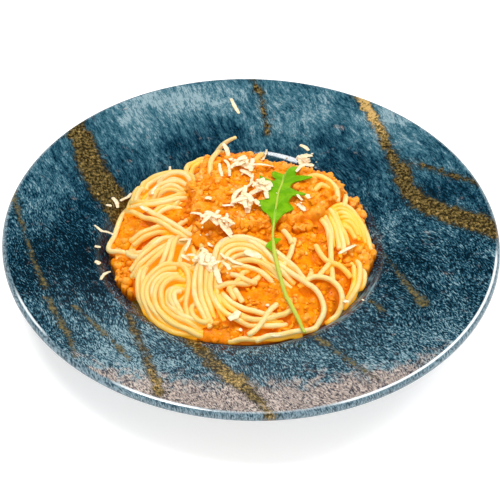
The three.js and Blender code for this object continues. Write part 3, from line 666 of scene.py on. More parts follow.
# Locks of noodles in plan: how many lie side by side, how far apart, and the way of their middle line.
locks = {
    "leftEdgeLoop": (1, 0, [(-70, 25), (-72.5, 13), (-74, 5), (-75.5, -2), (-77.5, -7), (-76.5, -11),
                            (-72.5, -12.5), (-65, -13.5)]),
    "leftSmallLoop": (2, 2.8, [(-66, -10), (-65, -16), (-60, -20), (-53, -19.5), (-46, -13)]),
    "leftFanTop": (2, 3.0, [(-43, -1), (-52, -3), (-60, -6), (-67, -10)]),
    "leftFanMiddle": (3, 3.0, [(-36, -8), (-44, -14), (-51, -21), (-58, -27), (-64, -33)]),
    "leftFanLow": (2, 3.0, [(-42, -5), (-48, -11), (-54, -16), (-61, -19)]),
    "leftFanSteep": (2, 3.0, [(-41, -9), (-43, -18), (-45, -27), (-49, -34)]),
    "leftPair": (2, 3.0, [(-70, 23), (-64, 15), (-57, 8), (-48, 0.5), (-40, -5), (-33, -9)]),
    "leftLedge": (2, 3.0, [(-56, 6), (-51, 11), (-43, 13.5), (-34, 13)]),
    "leftLedgeEnd": (2, 2.8, [(-42, 23), (-41, 18), (-46, 10)]),
    "nestLow": (2, 2.8, [(-68, 20), (-67, 25.5), (-64.5, 31), (-62, 36)]),
    "nestLeft": (2, 2.8, [(-66.5, 22), (-65.5, 28), (-64, 34), (-61, 39.5), (-56, 42)]),
    "nestLoop": (2, 2.8, [(-60.5, 34), (-61, 39.5), (-57, 43.5), (-50, 45), (-42.5, 44), (-37, 40),
                          (-33.5, 34), (-33, 28)]),
    "nestBack": (2, 2.8, [(-55, 35.5), (-50, 38.5), (-44, 39), (-38.5, 36), (-35, 30.5)]),
    "nestBand": (3, 2.9, [(-56, 28.5), (-51, 31), (-45, 31.5), (-39, 29.5), (-33.5, 25.5)]),
    "nestUpright": (1, 0, [(-53, 33), (-54, 27), (-56.5, 20.5)]),
    "nestLong": (2, 3.2, [(-68, 22.5), (-61, 17), (-53, 15), (-46, 15.5), (-39, 18), (-33, 22)]),
    "swirlEdge": (2, 3.0, [(-56, -27), (-58, -37), (-57, -46), (-52, -55)]),
    "swirlOuter": (3, 2.9, [(-37, -31), (-46, -35), (-53, -41), (-54, -49), (-50, -57), (-43, -64),
                            (-34, -69), (-20, -71)]),
    "swirlInner": (3, 2.9, [(-34, -39), (-41, -41), (-46, -46), (-46, -53), (-43, -59), (-37, -65),
                            (-29, -69), (-22, -70)]),
    "swirlCore": (2, 2.9, [(-34, -45), (-40, -47), (-41, -53), (-38, -59), (-33, -65)]),
    "swirlUpright": (1, 0, [(-37, -28), (-33, -35), (-32, -42), (-32.5, -50), (-33, -57), (-31.5, -63),
                            (-28, -68)]),
    "hook": (1, 0, [(-24, -54), (-28.5, -57), (-30, -62), (-27.5, -66.5), (-23, -68.5), (-20, -66)]),
    "middleFall": (5, 2.8, [(-21, -25), (-23, -34), (-23.5, -44), (-22, -54), (-19, -61), (-15.5, -67)]),
    "frontSweep": (3, 2.9, [(-17, -49), (-15, -56), (-10, -61.5), (-2, -64.5), (7, -65.5), (14, -64.5),
                            (20, -60.5)]),
    "frontShort": (2, 2.8, [(-10, -48), (-8, -53), (-5, -58)]),
    "rimFront": (1, 0, [(-10, -75), (-1, -76), (8, -75), (18, -72.5), (28, -68)]),
    "frontCrossing": (1, 0, [(14, -56), (10.5, -61), (8, -66), (4, -72), (0, -75)]),
    "shortU": (1, 0, [(5, -36), (3, -41), (-3, -45), (-11, -46.5), (-19, -47)]),
    "shortURight": (1, 0, [(0, -33), (-4, -38), (-6, -44), (-12, -50)]),
    "shortUMiddle": (1, 0, [(-13, -37), (-8, -41), (-2, -44), (4, -43)]),
    "arcBundle": (4, 2.9, [(-17, -31), (-13, -23.5), (-6, -21), (2, -23), (9, -28.5), (16, -34), (24, -39)]),
    "arcLow": (2, 2.9, [(-14, -33), (-6, -31.5), (3, -33.5), (10, -37.5), (15, -41)]),
    "shortStrand": (1, 0, [(24, -12), (22.5, -20), (21, -27), (18.5, -33)]),
    "tinyCurve": (1, 0, [(17, -7), (20, -11.5), (21.5, -16)]),
    "backEdge": (2, 4.0, [(34, 54), (22, 60), (9, 63), (-5, 64), (-18, 61)]),
    "backArch": (2, 2.8, [(-36, 40), (-36, 46), (-34, 51), (-30.5, 54.5), (-26, 52), (-25, 44), (-26, 36)]),
    "edgeHook": (1, 0, [(56, -24.5), (58.5, -22), (60.5, -24), (60.5, -28), (59, -31.5), (56, -30.5)]),
    "rightEdge": (2, 2.8, [(54, -14), (56.5, -20), (56.5, -28), (55, -35), (52, -40.5), (47, -46)]),
    "shoulderFourth": (2, 2.5, [(46, 4), (50, 4.5), (54, 3), (57, 0), (59, -4)]),
    "shoulderThird": (2, 2.5, [(44, 9), (49, 10), (54, 8), (57.5, 4.5), (60, -0.5)]),
    "shoulderSecond": (2, 2.5, [(42, 13.5), (48, 15.5), (53, 13.5), (57, 9.5), (60, 4), (62, -2)]),
    "shoulderOuter": (1, 0, [(41, 16), (47, 19), (52, 18.5), (56, 15.5), (59.5, 10.5), (62, 5), (64, -1),
                             (65, -6)]),
    "fallLeft": (2, 2.2, [(36.5, 11), (40, 3.5), (42, -1), (43, -8), (43, -14)]),
    "fallLong": (1, 0, [(39, 9), (42, 0), (43, -8), (43, -15), (43.5, -25), (44, -36.5)]),
    "fallRight": (2, 2.4, [(39.5, 15), (43, 9), (45, 3), (47, -4), (48.5, -10), (49, -16)]),
    "fallOuter": (1, 0, [(44, 17), (46, 9), (48, 2), (51, -4), (52.5, -9)]),
    "rightDiagonal": (1, 0, [(42, -25), (39, -29.5), (36, -34.5)]),
    "rightCrossing": (1, 0, [(35, -14), (38, -20), (42.5, -24), (46.5, -24.5), (50.5, -27), (53.5, -30)]),
    "smallCurve": (1, 0, [(32, -27), (32.5, -32), (31.5, -36), (28, -39.5)]),
    "rightLoop": (1, 0, [(26, -41), (31, -38), (36, -36), (42.5, -36.5), (47.5, -41), (48.5, -47.5),
                         (45.5, -53), (39.5, -57)]),
    "longArc": (1, 0, [(-20, -31), (-17, -20.5), (-9, -16.5), (0, -18), (7, -23.5), (13, -31), (21, -37),
                       (27, -40.5), (32.5, -43), (37, -47.5), (39, -54), (37, -60), (31.5, -66), (24, -70),
                       (13.5, -74), (3, -76.5)]),
    "longArcMate": (1, 0, [(-20, -26), (-15, -18), (-6, -14.5), (3, -17), (11, -22), (19, -29), (29, -38)]),
    "frontArc": (1, 0, [(24, -55), (19, -60), (12, -64.5), (6, -66.5), (-1, -66), (-6, -62.5)]),
}
overPile = {
    "backCurl": (1, 0, [(28, 33), (34, 34.5), (40, 33.5), (44.5, 30), (47, 25), (47.5, 19)]),
    "backCurlMate": (1, 0, [(33, 22), (38, 26.5), (43, 27.5)]),
    "backUpright": (1, 0, [(51.5, 30), (51.5, 24), (50, 17)]),
    "backCentre": (1, 0, [(5, 58), (4, 51), (-1, 45)]),
    "leftOfPile": (1, 0, [(-24, 32), (-24, 42), (-21, 52), (-17, 60)]),
}
noodleTip = [(-22.5, 50, 37), (-22.5, 55, 40), (-20.5, 58, 44), (-17.5, 58.6, 48.5), (-13.8, 58.6, 52),
             (-10.5, 58, 54.5)]      # the strand that stands up, with its heights
openEnds = {"hook", "frontCrossing", "shortStrand", "tinyCurve", "fallLong", "rightCrossing", "rightDiagonal",
            "frontShort", "fallRight"}


def lockStrands(table, seed, ceiling, bed=False):
    # each strand lies beside the middle line, wavers a little and stops a little short or long;
    # a bed is one strand fewer, laid lower between the others
    random = np.random.default_rng(seed)
    strands = []
    for name, (count, pitch, way) in table.items():
        line = curveThrough(way, 3.0)
        ahead = toUnit(np.gradient(line, axis=0))
        beside = np.stack([-ahead[:, 1], ahead[:, 0]], axis=1)
        number = count - 1 if bed else count
        for k in range(number):
            waver = 0.55 * np.sin(np.arange(len(line)) * random.uniform(0.15, 0.5) + random.uniform(0, 6.3))
            off = (k - (number - 1) / 2) * pitch + waver * min(count - 1, 1) + random.normal(0, 0.3)
            first, last = (random.integers(0, 2), random.integers(0, 2)) if count > 1 else (0, 0)
            moved = (line + beside * off[:, None])[first:len(line) - last]
            path = laid(moved, field, ceiling, 0.0 if name in openEnds else noodle["dip"])
            strands.append(thinned(path, noodle["step"]))
    return strands


bedStrands = lockStrands(locks, 6, -1.8, bed=True)
print("beds laid:", len(bedStrands), "strands")

# Sauce patches: centre, radius, how far the outline is stretched, and the direction of the stretch.
underPatches = [
    ((-60, 5), 15, 0.25, 20), ((-67, -28), 10, 0.35, 112), ((20, -46), 31, 0.1, 160),
    ((44, -18), 25, 0.1, 80), ((4, -67), 20, 0.45, 4), ((61, -9), 9, 0.3, 98), ((46, 36), 25, 0.1, 120),
    ((-38, 14), 12, 0.2, 0), ((0, 5), 34, 0.0, 0), ((-4, 46), 24, 0.1, 0),
]
sauce = {
    "rise": 6.0, "underRise": -1.0, "slope": 2.5, "depth": 6.0, "inset": 3.0,   # clear of the heap's border
    # seed, spacing, smallest and largest size and height of the lumps of three sizes
    "clods": (22, 8.5, (3.0, 7.0), 0.42), "pieces": (23, 4.6, (1.6, 4.0), 0.5),
    "crumbs": (24, 2.4, (0.8, 1.7), 0.5),
}
pilePatches = [((15, 27.5), 33, 0.12, 20), ((-9, 15), 25, 0.0, 0), ((-8, 38), 23, 0.0, 0)]
# Large lumps of mince that stand out at the border of the heap: place in plan and radius.
bigLumps = {
    "pile": [((38.5, 54), 5.4), ((47.5, 42), 4.6), ((51.5, 37), 2.6), ((56, 31), 3.2), ((54.5, 25), 2.8),
             ((60, 20), 3.0), ((60.5, 15), 2.4), ((1, -5), 3.2), ((9.6, -4.5), 3.6), ((17.5, -4), 4.2),
             ((24.5, -1.5), 3.2), ((30.5, 0.5), 3.8), ((35, 3.5), 2.4), ((-7, -9), 3.8), ((-17, -7.5), 3.2)],
    "under": [((61.5, -13), 4.8), ((65.5, -7), 3.0), ((61.5, -17.5), 3.0), ((57.5, -8), 3.6),
              ((57, -16), 3.2), ((65, -2), 2.6), ((-71, -22), 2.6), ((-70.5, -27), 2.2), ((-69, -31.5), 2.6),
              ((-66, -27), 2.8), ((-66.5, -36), 2.4), ((-63, -40), 2.2), ((-64, -33), 2.2)],
}


def inside(x, y, patches):
    # how far inside a lobed outline each point lies:
    # radius (1 + stretch cos 2(angle - turn) + waves) - distance
    depth = []
    for (cx, cy), radius, stretch, turn in patches:
        angle = np.arctan2(y - cy, x - cx)
        edge = radius * (1 + stretch * np.cos(2 * (angle - math.radians(turn)))
                         + 0.04 * np.sin(5 * angle) + 0.03 * np.cos(9 * angle))
        depth.append(edge - np.hypot(x - cx, y - cy))
    return np.max(depth, axis=0)


def lumpy(seed, spacing, sizes, height):
    # rounded bumps on a jittered lattice: height times the root of 1 - (distance / size) squared
    random = np.random.default_rng(seed)
    line = np.arange(-88, 88, spacing)
    px, py = (axis.ravel() for axis in np.meshgrid(line, line))
    px = px + random.uniform(-0.6, 0.6, px.shape) * spacing
    py = py + random.uniform(-0.6, 0.6, py.shape) * spacing
    size = sizes[0] + (sizes[1] - sizes[0]) * random.random(px.shape) ** 1.8
    j, i, away = cellsNear(np.stack([px, py], axis=1), sizes[1])
    bump = height * size[:, None] * np.sqrt(np.maximum(1 - (away / size[:, None]) ** 2, 0.0))
    bumps = np.zeros_like(gridX)
    np.maximum.at(bumps, (j, i), bump)
    return bumps


def raggedDepth(patches, seed):
    return inside(gridX, gridY, patches) + 2.4 * latticeNoise(seed, 7.0) + 1.6 * latticeNoise(seed + 1, 3.0)


def withLumps(top, depth, lumps, lift):
    # round, uneven lumps set into the sheet's border
    for (x, y), size in lumps:
        uneven = size * (1 + 0.12 * latticeNoise(35, 2.5))
        ball = uneven**2 - (gridX - x) ** 2 - (gridY - y) ** 2
        high = heapTop(x, y) + lift + 0.85 * np.sqrt(np.maximum(ball, 0)) + 0.3 * latticeNoise(36, 1.6)
        top = np.maximum(top, np.where(ball > 0, high, -1e9))
        depth = np.maximum(depth, np.where(ball > 0, 2.0, -1e9))
    return top, depth


mince = np.maximum(*(lumpy(*sauce[name]) for name in ("pieces", "crumbs"))) + lumpy(*sauce["clods"])
mince = softened(mince, 1) + 0.2 * latticeNoise(31, 1.3) + 0.4 * latticeNoise(32, 4.0) - 0.6

underDepth = np.minimum(raggedDepth(underPatches, 41), inHeap - sauce["inset"])
underTop = heapHeight + sauce["underRise"] + mince * 0.9 + 0.9 * latticeNoise(33, 11.0)
underTop, underDepth = withLumps(underTop, underDepth, bigLumps["under"], -0.6)
underTop = underTop - 3.5 * smooth(2.5, -2.5, underDepth)
underKeep = (underDepth > -2.4) & (underTop > dishField + 0.3)
underBase = np.maximum(heapHeight - sauce["depth"], dishField + 0.15)
underBase = np.minimum(underBase, underTop - 0.2)
field = np.where(underKeep, np.maximum(field, underTop), field)

topStrands = lockStrands(locks, 7, 3.4)
print("locks laid:", len(topStrands), "strands")

pileDepth = np.minimum(raggedDepth(pilePatches, 51), inHeap - sauce["inset"])
pileTop = heapHeight + sauce["rise"] * smooth(-1.0, sauce["slope"], pileDepth)
pileTop = pileTop + mince * smooth(-2.0, 3.0, pileDepth)
pileTop = pileTop + 1.1 * latticeNoise(34, 9.0) * smooth(0, 6, pileDepth)
pileTop, pileDepth = withLumps(pileTop, pileDepth, bigLumps["pile"], 0.5)
pileTop = pileTop - 4.0 * smooth(1.0, -2.4, pileDepth)
pileKeep = pileDepth > -2.4
pileBase = np.minimum(np.maximum(heapHeight - sauce["depth"], dishField + 0.4), pileTop - 0.3)
field = np.where(pileKeep, np.maximum(field, pileTop), field)

topStrands += lockStrands(overPile, 8, 9.0)
tipStrand = curveThrough(noodleTip, noodle["step"])
layBalls(field, tipStrand, noodle["radius"])

# Grains of mince that stand out of the sauce: how many are tried, and their smallest and largest radius.
grains = {
    "pile": {"tried": 1300, "size": (0.7, 2.6), "seed": 61},
    "under": {"tried": 1300, "size": (0.7, 2.4), "seed": 62},
    "rings": 5, "spokes": 8, "rough": 0.22, "sink": 0.25,
}


def lumpMesh(places, sizes, random):
    # radius = size (1 + rough times three sines of the direction), a little flat, turned at random
    polar = np.linspace(0, math.pi, grains["rings"] + 2)[1:-1]
    around = np.linspace(0, 2 * math.pi, grains["spokes"], endpoint=False)
    a, b = (k.ravel() for k in np.meshgrid(polar, around, indexing="ij"))
    unit = np.stack([np.sin(a) * np.cos(b), np.sin(a) * np.sin(b), np.cos(a)], axis=1)
    unit = np.vstack([unit, (0, 0, 1), (0, 0, -1)])
    count = len(places)
    waves = np.einsum("pk,nwk->nwp", unit, random.normal(0, 2.2, (count, 3, 3)))
    swell = 1 + grains["rough"] * np.sin(waves + random.uniform(0, 6, (count, 3, 1))).sum(1)
    flat = random.uniform((1.0, 0.7, 0.6), (1.35, 1.0, 0.85), (count, 3))
    shape = unit[None] * swell[..., None] * flat[:, None]
    frames, _ = np.linalg.qr(random.normal(0, 1, (count, 3, 3)))
    frames[:, :, 2] *= np.sign(np.linalg.det(frames))[:, None]
    points = places[:, None] + sizes[:, None, None] * np.einsum("nij,npj->npi", frames, shape)
    start = (np.arange(count) * len(unit))[:, None, None]
    faces = [(start + group[None]).reshape(-1, group.shape[1])
             for group in ringFaces(grains["rings"], grains["spokes"])]
    return points.reshape(-1, 3), faces


def scattered(settings, top, depth, others):
    # places drawn over the sheet, kept where the sheet is what lies on top
    random = np.random.default_rng(settings["seed"])
    x, y = random.uniform(-80, 80, (2, settings["tried"] * 3))
    size = settings["size"][0] + (settings["size"][1] - settings["size"][0]) * random.random(x.shape) ** 2.0
    high = lookUp(top, x, y)
    kept = (lookUp(depth, x, y) > -0.8) & (high > lookUp(others, x, y) - 0.4)
    kept &= np.cumsum(kept) <= settings["tried"]
    places = np.stack([x, y, high - grains["sink"] * size], axis=1)[kept]
    return places, size[kept], random


broadTop, fineTop = softened(field, 90), softened(field, 8)


def sauceReliefShade(points, lift=0.0):
    # how far each point stands above the sheet's mean round it; the sauce colour paints lumps lighter where
    # it is high and hollows shaded where it is low
    x, y, z = points.T
    return np.clip(z - 0.5 * (lookUp(broadTop, x, y) + lookUp(fineTop, x, y)) + lift, -3.0, 1.1)


# Where the noodles are coated with sauce: centre in plan, reach and how much.
soaked = [((56, 6), 16, 0.4), ((52, -28), 14, 0.3), ((-62, 12), 12, 0.2), ((-32, 50), 9, 0.4),
          ((-14, -64), 9, 0.3), ((36, 34), 14, 0.35)]


def pastaShadeAndSauce(points, crest):
    # painted shade, with sauce coating added: 0 on the crest of the top strands, 1 in the gaps between them,
    # deep in the heap and on their undersides
    x, y, z = points.T
    gap = smooth(0.6, -1.4, z - lookUp(fineTop, x, y))
    low = smooth(0.5, -4.5, z - lookUp(broadTop, x, y))
    under = smooth(0.75, -0.4, crest)
    return np.clip(0.4 * gap + 0.45 * low + 0.35 * under + humps(x, y, soaked), 0, 1)


def cookedPasta():
    # Durum spaghetti, boiled soft: pale cream yellow, translucent, wet with oil, more orange where sauce
    # coats it, and with painted orange shade and glow in the gaps, deep in the heap and on the strands'
    # undersides.
    material, tree = newMaterial("cookedDurumSpaghetti")
    place = addNode(tree, "ShaderNodeTexCoord").outputs["Object"]
    deep, tint = (addNode(tree, "ShaderNodeAttribute", attribute_name=name).outputs["Fac"]
                  for name in ("deep", "tint"))
    blotch = addNode(tree, "ShaderNodeTexNoise", {"Vector": place, "Scale": 1 / (7 * mm), "Detail": 2.0})
    blotch = blotch.outputs["Fac"]
    colour = laidOver(tree, "#DCBC6E", [
        (tint, 0.0, 1.0, 1.0, "#DECA90"),
        (blotch, 0.45, 0.75, 0.5, "#E6B04C"),
        # painted shade: deeper orange in the gaps, deep in the heap and on the strands' undersides, and where
        # sauce coats them
        (deep, 0.10, 0.55, 0.9, "#EEB440"),
        (deep, 0.45, 1.0, 0.95, "#F0A410"),
    ])
    # a painted orange glow in the shaded gaps, standing in for the light that the neighbouring strands pass
    # on to the ones below them
    paintedGlow = addNode(tree, "ShaderNodeMath", {0: deep, 1: 0.4}, operation="MULTIPLY").outputs[0]
    relief = addNode(tree, "ShaderNodeBump", {"Height": blotch, "Strength": 0.15, "Distance": 0.3 * mm})
    pasta = addNode(tree, "ShaderNodeBsdfPrincipled", {
        "Base Color": colour, "Roughness": 0.35, "IOR": 1.4, "Specular IOR Level": 0.25,
        "Subsurface Weight": 0.4, "Subsurface Radius": (1.0, 0.7, 0.25), "Subsurface Scale": 1.2 * mm,
        "Coat Weight": 0.12, "Coat Roughness": 0.15, "Emission Color": linear("#F4B01C"),
        "Emission Strength": paintedGlow, "Normal": relief.outputs[0]})
    addNode(tree, "ShaderNodeOutputMaterial", {"Surface": pasta.outputs[0]})
    return material


def minceRagout():
    # Minced meat simmered in tomato and oil: wet and orange with peach bits; painted lighter where lumps
    # stand out and painted shade of deeper orange in the hollows.
    material, tree = newMaterial("minceInTomatoSauce")
    place = addNode(tree, "ShaderNodeTexCoord").outputs["Object"]
    tone = addNode(tree, "ShaderNodeAttribute", attribute_name="tone").outputs["Fac"]
    grain = addNode(tree, "ShaderNodeTexNoise", {"Vector": place, "Scale": 1 / (1.6 * mm), "Detail": 3.0,
                    "Roughness": 0.6}).outputs["Fac"]
    blotch = addNode(tree, "ShaderNodeTexNoise", {"Vector": place, "Scale": 1 / (7 * mm), "Detail": 2.0})
    high = addNode(tree, "ShaderNodeMath", {0: grain, 1: 2.4, 2: tone}, operation="MULTIPLY_ADD").outputs[0]
    colour = laidOver(tree, "#DA7C06", [
        (blotch.outputs["Fac"], 0.35, 0.65, 1.0, "#E08E08"),
        # peach: the grain's own pale bits, with a painted highlight where lumps stand out
        (high, 1.4, 2.7, 0.75, "#F0A23C"),
        (high, 2.3, 3.4, 0.6, "#F2C088"),
        # painted shade: deeper orange in the hollows
        (tone, 0.0, -1.2, 0.95, "#CE6C02"),
    ])
    relief = addNode(tree, "ShaderNodeBump", {"Height": grain, "Strength": 0.6, "Distance": 0.6 * mm})
    # a faint, even, painted orange glow lifts the sauce's shade
    ragout = addNode(tree, "ShaderNodeBsdfPrincipled", {
        "Base Color": colour, "Roughness": 0.35, "IOR": 1.4, "Specular IOR Level": 0.2,
        "Subsurface Weight": 0.35, "Subsurface Radius": (1.0, 0.5, 0.12), "Subsurface Scale": 1.2 * mm,
        "Coat Weight": 0.08, "Coat Roughness": 0.12, "Emission Color": linear("#F07400"),
        "Emission Strength": 0.06, "Normal": relief.outputs[0]})
    addNode(tree, "ShaderNodeOutputMaterial", {"Surface": ragout.outputs[0]})
    return material


pasta, ragout = cookedPasta(), minceRagout()


def makeStrands():
    for name, strands, sides in (("lowNoodles", lowStrands, noodle["lowSides"]),
                                 ("bedNoodles", bedStrands, noodle["lowSides"]),
                                 ("topNoodles", topStrands, noodle["sides"])):
        points, faces, tint, crest = tubes(strands, noodle["radius"], sides)
        addPiece(name, points, faces, pasta, "pasta", ["spaghetti"], tint=tint,
                 deep=pastaShadeAndSauce(points, crest))
    taper = np.interp(np.linspace(0, 1, len(tipStrand)), (0.0, 0.6, 1.0), (1.0, 0.95, 0.62))
    points, faces, tint, _ = tubes([tipStrand], [noodle["radius"] * taper], noodle["sides"], (0.3, -1.0, 0.0))
    addPiece("risingNoodle", points, faces, pasta, "pasta", ["spaghetti"], deep=0 * tint, tint=tint)


def makeCore():
    keep = inHeap > heap["coreInset"] + 1
    top = np.maximum(coreHeight, dishField + 0.3)
    points, faces = closedSlab(top, dishField + 0.1, keep)
    # the core is coloured as fully shaded pasta, with its glow: painted shade between the strands
    addPiece("innerHeap", points, faces, pasta, "pasta", ["spaghetti"], deep=np.ones(len(points)),
             tint=np.zeros(len(points)))


def makeSauce():
    underNodes = ["bolognese_sauce_front", "bolognese_sauce_right", "bolognese_sauce_left"]
    points, faces = closedSlab(underTop, underBase, underKeep)
    addPiece("sauceBetweenNoodles", points, faces, ragout, "sauce", underNodes, tone=sauceReliefShade(points))
    points, faces = closedSlab(pileTop, pileBase, pileKeep)
    addPiece("ladledSauce", points, faces, ragout, "sauce", ["bolognese_sauce_pile"], tone=sauceReliefShade(points))
    below = np.where(underKeep, underTop, -1e3)
    for name, key, top, depth, nodes in (
            ("minceInPile", "pile", pileTop, pileDepth, ["bolognese_sauce_pile"]),
            ("minceBetweenNoodles", "under", below, underDepth, underNodes)):
        places, sizes, random = scattered(grains[key], top, depth, field)
        points, faces = lumpMesh(places, sizes, random)
        own = np.repeat(random.normal(0, 0.3, len(places)), len(points) // len(places))
        addPiece(name, points, faces, ragout, "sauce", nodes, tone=sauceReliefShade(points, 0.1) + own)
        layBalls(field, places, sizes)


makeStrands()
makeCore()
makeSauce()

# Rocket leaf in plan: rib from the tip down the stem, and the outline of each side from tip to base.
leaf = {
    "rib": [(20.8, 38.2), (19.2, 34.9), (17.3, 31.3), (16, 22.8), (14.1, 14.0), (12.7, 2.8), (11.5, -9.7),
            (11.3, -14.2), (11.8, -21.1), (12.6, -28.2), (14.3, -36.8), (16.7, -45.3), (19.9, -53.4),
            (23.7, -61.4), (28.8, -71.5)],
    "right": [(21.4, 38.6), (23.9, 38.2), (25, 34.4), (23.4, 30.8), (23.9, 28.7), (27.1, 28.4), (32.7, 28.5),
              (31.3, 27.1), (26, 24.6), (21.7, 22.2), (20.7, 18.9), (24.9, 14.6), (29.6, 11.6), (25.2, 11.2),
              (21.9, 11.0), (19.6, 7.6), (21.2, 5.2), (22.3, 3.4), (20.6, 2.0), (18.4, 0.2), (15.3, -2.6),
              (13.6, -4.6), (12.6, -7.5), (11.8, -12.5), (11.6, -13.5)],
    "left": [(20.6, 38.0), (19.7, 35.2), (18.3, 32.7), (16.4, 31.4), (13.2, 33.4), (11.1, 34), (10.3, 32.2),
             (10.9, 29.0), (12.5, 27.5), (12.2, 25.8), (10.7, 23.7), (8, 24.0), (4.1, 28.0), (3.9, 25.4),
             (6, 20.8), (7.6, 16.0), (8.5, 12.0), (8.0, 9.4), (5.5, 8.0), (2.8, 8.0), (1.2, 8.4), (2.6, 6.2),
             (5.1, 3.0), (8.5, -1.2), (10.3, -4.8), (11.0, -8.0), (11.1, -13.3)],
    "leftLeaflet": [(11.3, -14.2), (10.2, -17.8), (7.7, -22.6), (9.6, -24.4), (11.2, -27.0), (12.3, -27.2)],
    "rightLeaflet": [(11.5, -13.6), (13.7, -15.0), (15.9, -15.6), (14.4, -18.5), (13.0, -20.6),
                     (12.1, -22.0)],
    "stemRadius": 1.15, "ribRadius": 0.6, "tipRadius": 0.25, "bladeLength": 54.0,
    "thickness": 0.5, "clearance": 0.5, "cup": 0.05, "bend": 0.03, "columns": 8,
}


def closedSheet(top, bottom):
    # a grid of points and its lower twin, joined by a wall all round
    rows, columns = top.shape[:2]
    index = np.arange(rows * columns).reshape(rows, columns)
    quads = np.stack([index[:-1, :-1], index[1:, :-1], index[1:, 1:], index[:-1, 1:]], axis=-1).reshape(-1, 4)
    border = np.r_[index[0, :-1], index[:-1, -1], index[-1, :0:-1], index[:0:-1, 0]]
    after, n = np.roll(border, -1), rows * columns
    wall = np.stack([border, after, after + n, border + n], axis=1)
    a, b = (top[1:, :-1] - top[:-1, :-1])[..., :2], (top[:-1, 1:] - top[:-1, :-1])[..., :2]
    faces = [quads, quads[:, ::-1] + n, wall]
    if (a[..., 0] * b[..., 1] - a[..., 1] * b[..., 0]).sum() < 0:
        faces = [group[:, ::-1] for group in faces]
    return np.vstack([top.reshape(-1, 3), bottom.reshape(-1, 3)]), faces


def halfBlade(outline, rib, ribHigh, underneath):
    # straight rows from the rib to the outline, each starting where the rib is nearest, never going back;
    # height = the rib's + cup * distance, or what it lies on + clearance where that is higher
    edge = curveThrough(outline, 0.7)
    gone = lengthAlong(rib)
    nearest = gone[np.linalg.norm(edge[:, None] - rib[None], axis=-1).argmin(axis=1)]
    nearest = np.maximum.accumulate(nearest)
    even = np.linspace(nearest[0], nearest[-1], len(edge))
    at = 0.8 * nearest + 0.2 * even
    start = np.stack([np.interp(at, gone, rib[:, k]) for k in (0, 1)], axis=1)
    out = np.linspace(0, 1, leaf["columns"])[None, :, None]
    plan = start[:, None] + out * (edge - start)[:, None]
    away = np.linalg.norm(plan - start[:, None], axis=-1)
    wave = 0.35 * np.sin(0.55 * at)[:, None] * smooth(2, 8, away)
    high = np.interp(at, gone, ribHigh)[:, None] + leaf["cup"] * away + wave
    lying = lookUp(underneath, plan[..., 0], plan[..., 1]) + leaf["clearance"]
    high = np.maximum(high, lying)
    top = np.concatenate([plan, high[..., None]], axis=-1)
    points, faces = closedSheet(top, top - [0, 0, leaf["thickness"]])
    return points, faces, np.tile(away.ravel(), 2), np.tile(np.repeat(at, leaf["columns"]), 2)


def rocketLeafSkin():
    # Fresh rocket: a matt lime green blade with a waxy bloom, a pale rib and fine side veins; the stem
    # is paler and more yellow, with a soft gloss.
    material, tree = newMaterial("freshRocketLeaf")
    place = addNode(tree, "ShaderNodeTexCoord").outputs["Object"]
    away, along, stem = (addNode(tree, "ShaderNodeAttribute", attribute_name=name).outputs["Fac"]
                         for name in ("away", "along", "stem"))
    blotch = addNode(tree, "ShaderNodeTexNoise", {"Vector": place, "Scale": 1 / (5 * mm), "Detail": 3.0})
    blotch = blotch.outputs["Fac"]
    crooked = along
    for value, weight in ((away, 1.1), (blotch, 4.0)):
        crooked = addNode(tree, "ShaderNodeMath", {0: value, 1: weight, 2: crooked},
                          operation="MULTIPLY_ADD").outputs[0]
    veining = addNode(tree, "ShaderNodeMath", {0: crooked, 1: 4.5}, operation="PINGPONG").outputs[0]
    colour = laidOver(tree, "#5C9404", [
        (blotch, 0.35, 0.65, 1.0, "#74A40C"),
        (veining, 0.5, 0.0, 0.3, "#8CB82C"),
        (away, 0.9, 0.3, 0.5, "#A8CC58"),
        (stem, 0.0, 1.0, 1.0, "#AEB648"),
    ])
    relief = addNode(tree, "ShaderNodeBump", {"Height": veining, "Strength": 0.2, "Distance": 0.2 * mm})
    skin = addNode(tree, "ShaderNodeBsdfPrincipled", {
        "Base Color": colour, "Roughness": 0.5, "IOR": 1.4, "Specular IOR Level": 0.12,
        "Subsurface Weight": 0.2, "Subsurface Radius": (0.5, 1.0, 0.2), "Subsurface Scale": 0.8 * mm,
        "Normal": relief.outputs[0]})
    addNode(tree, "ShaderNodeOutputMaterial", {"Surface": skin.outputs[0]})
    return material


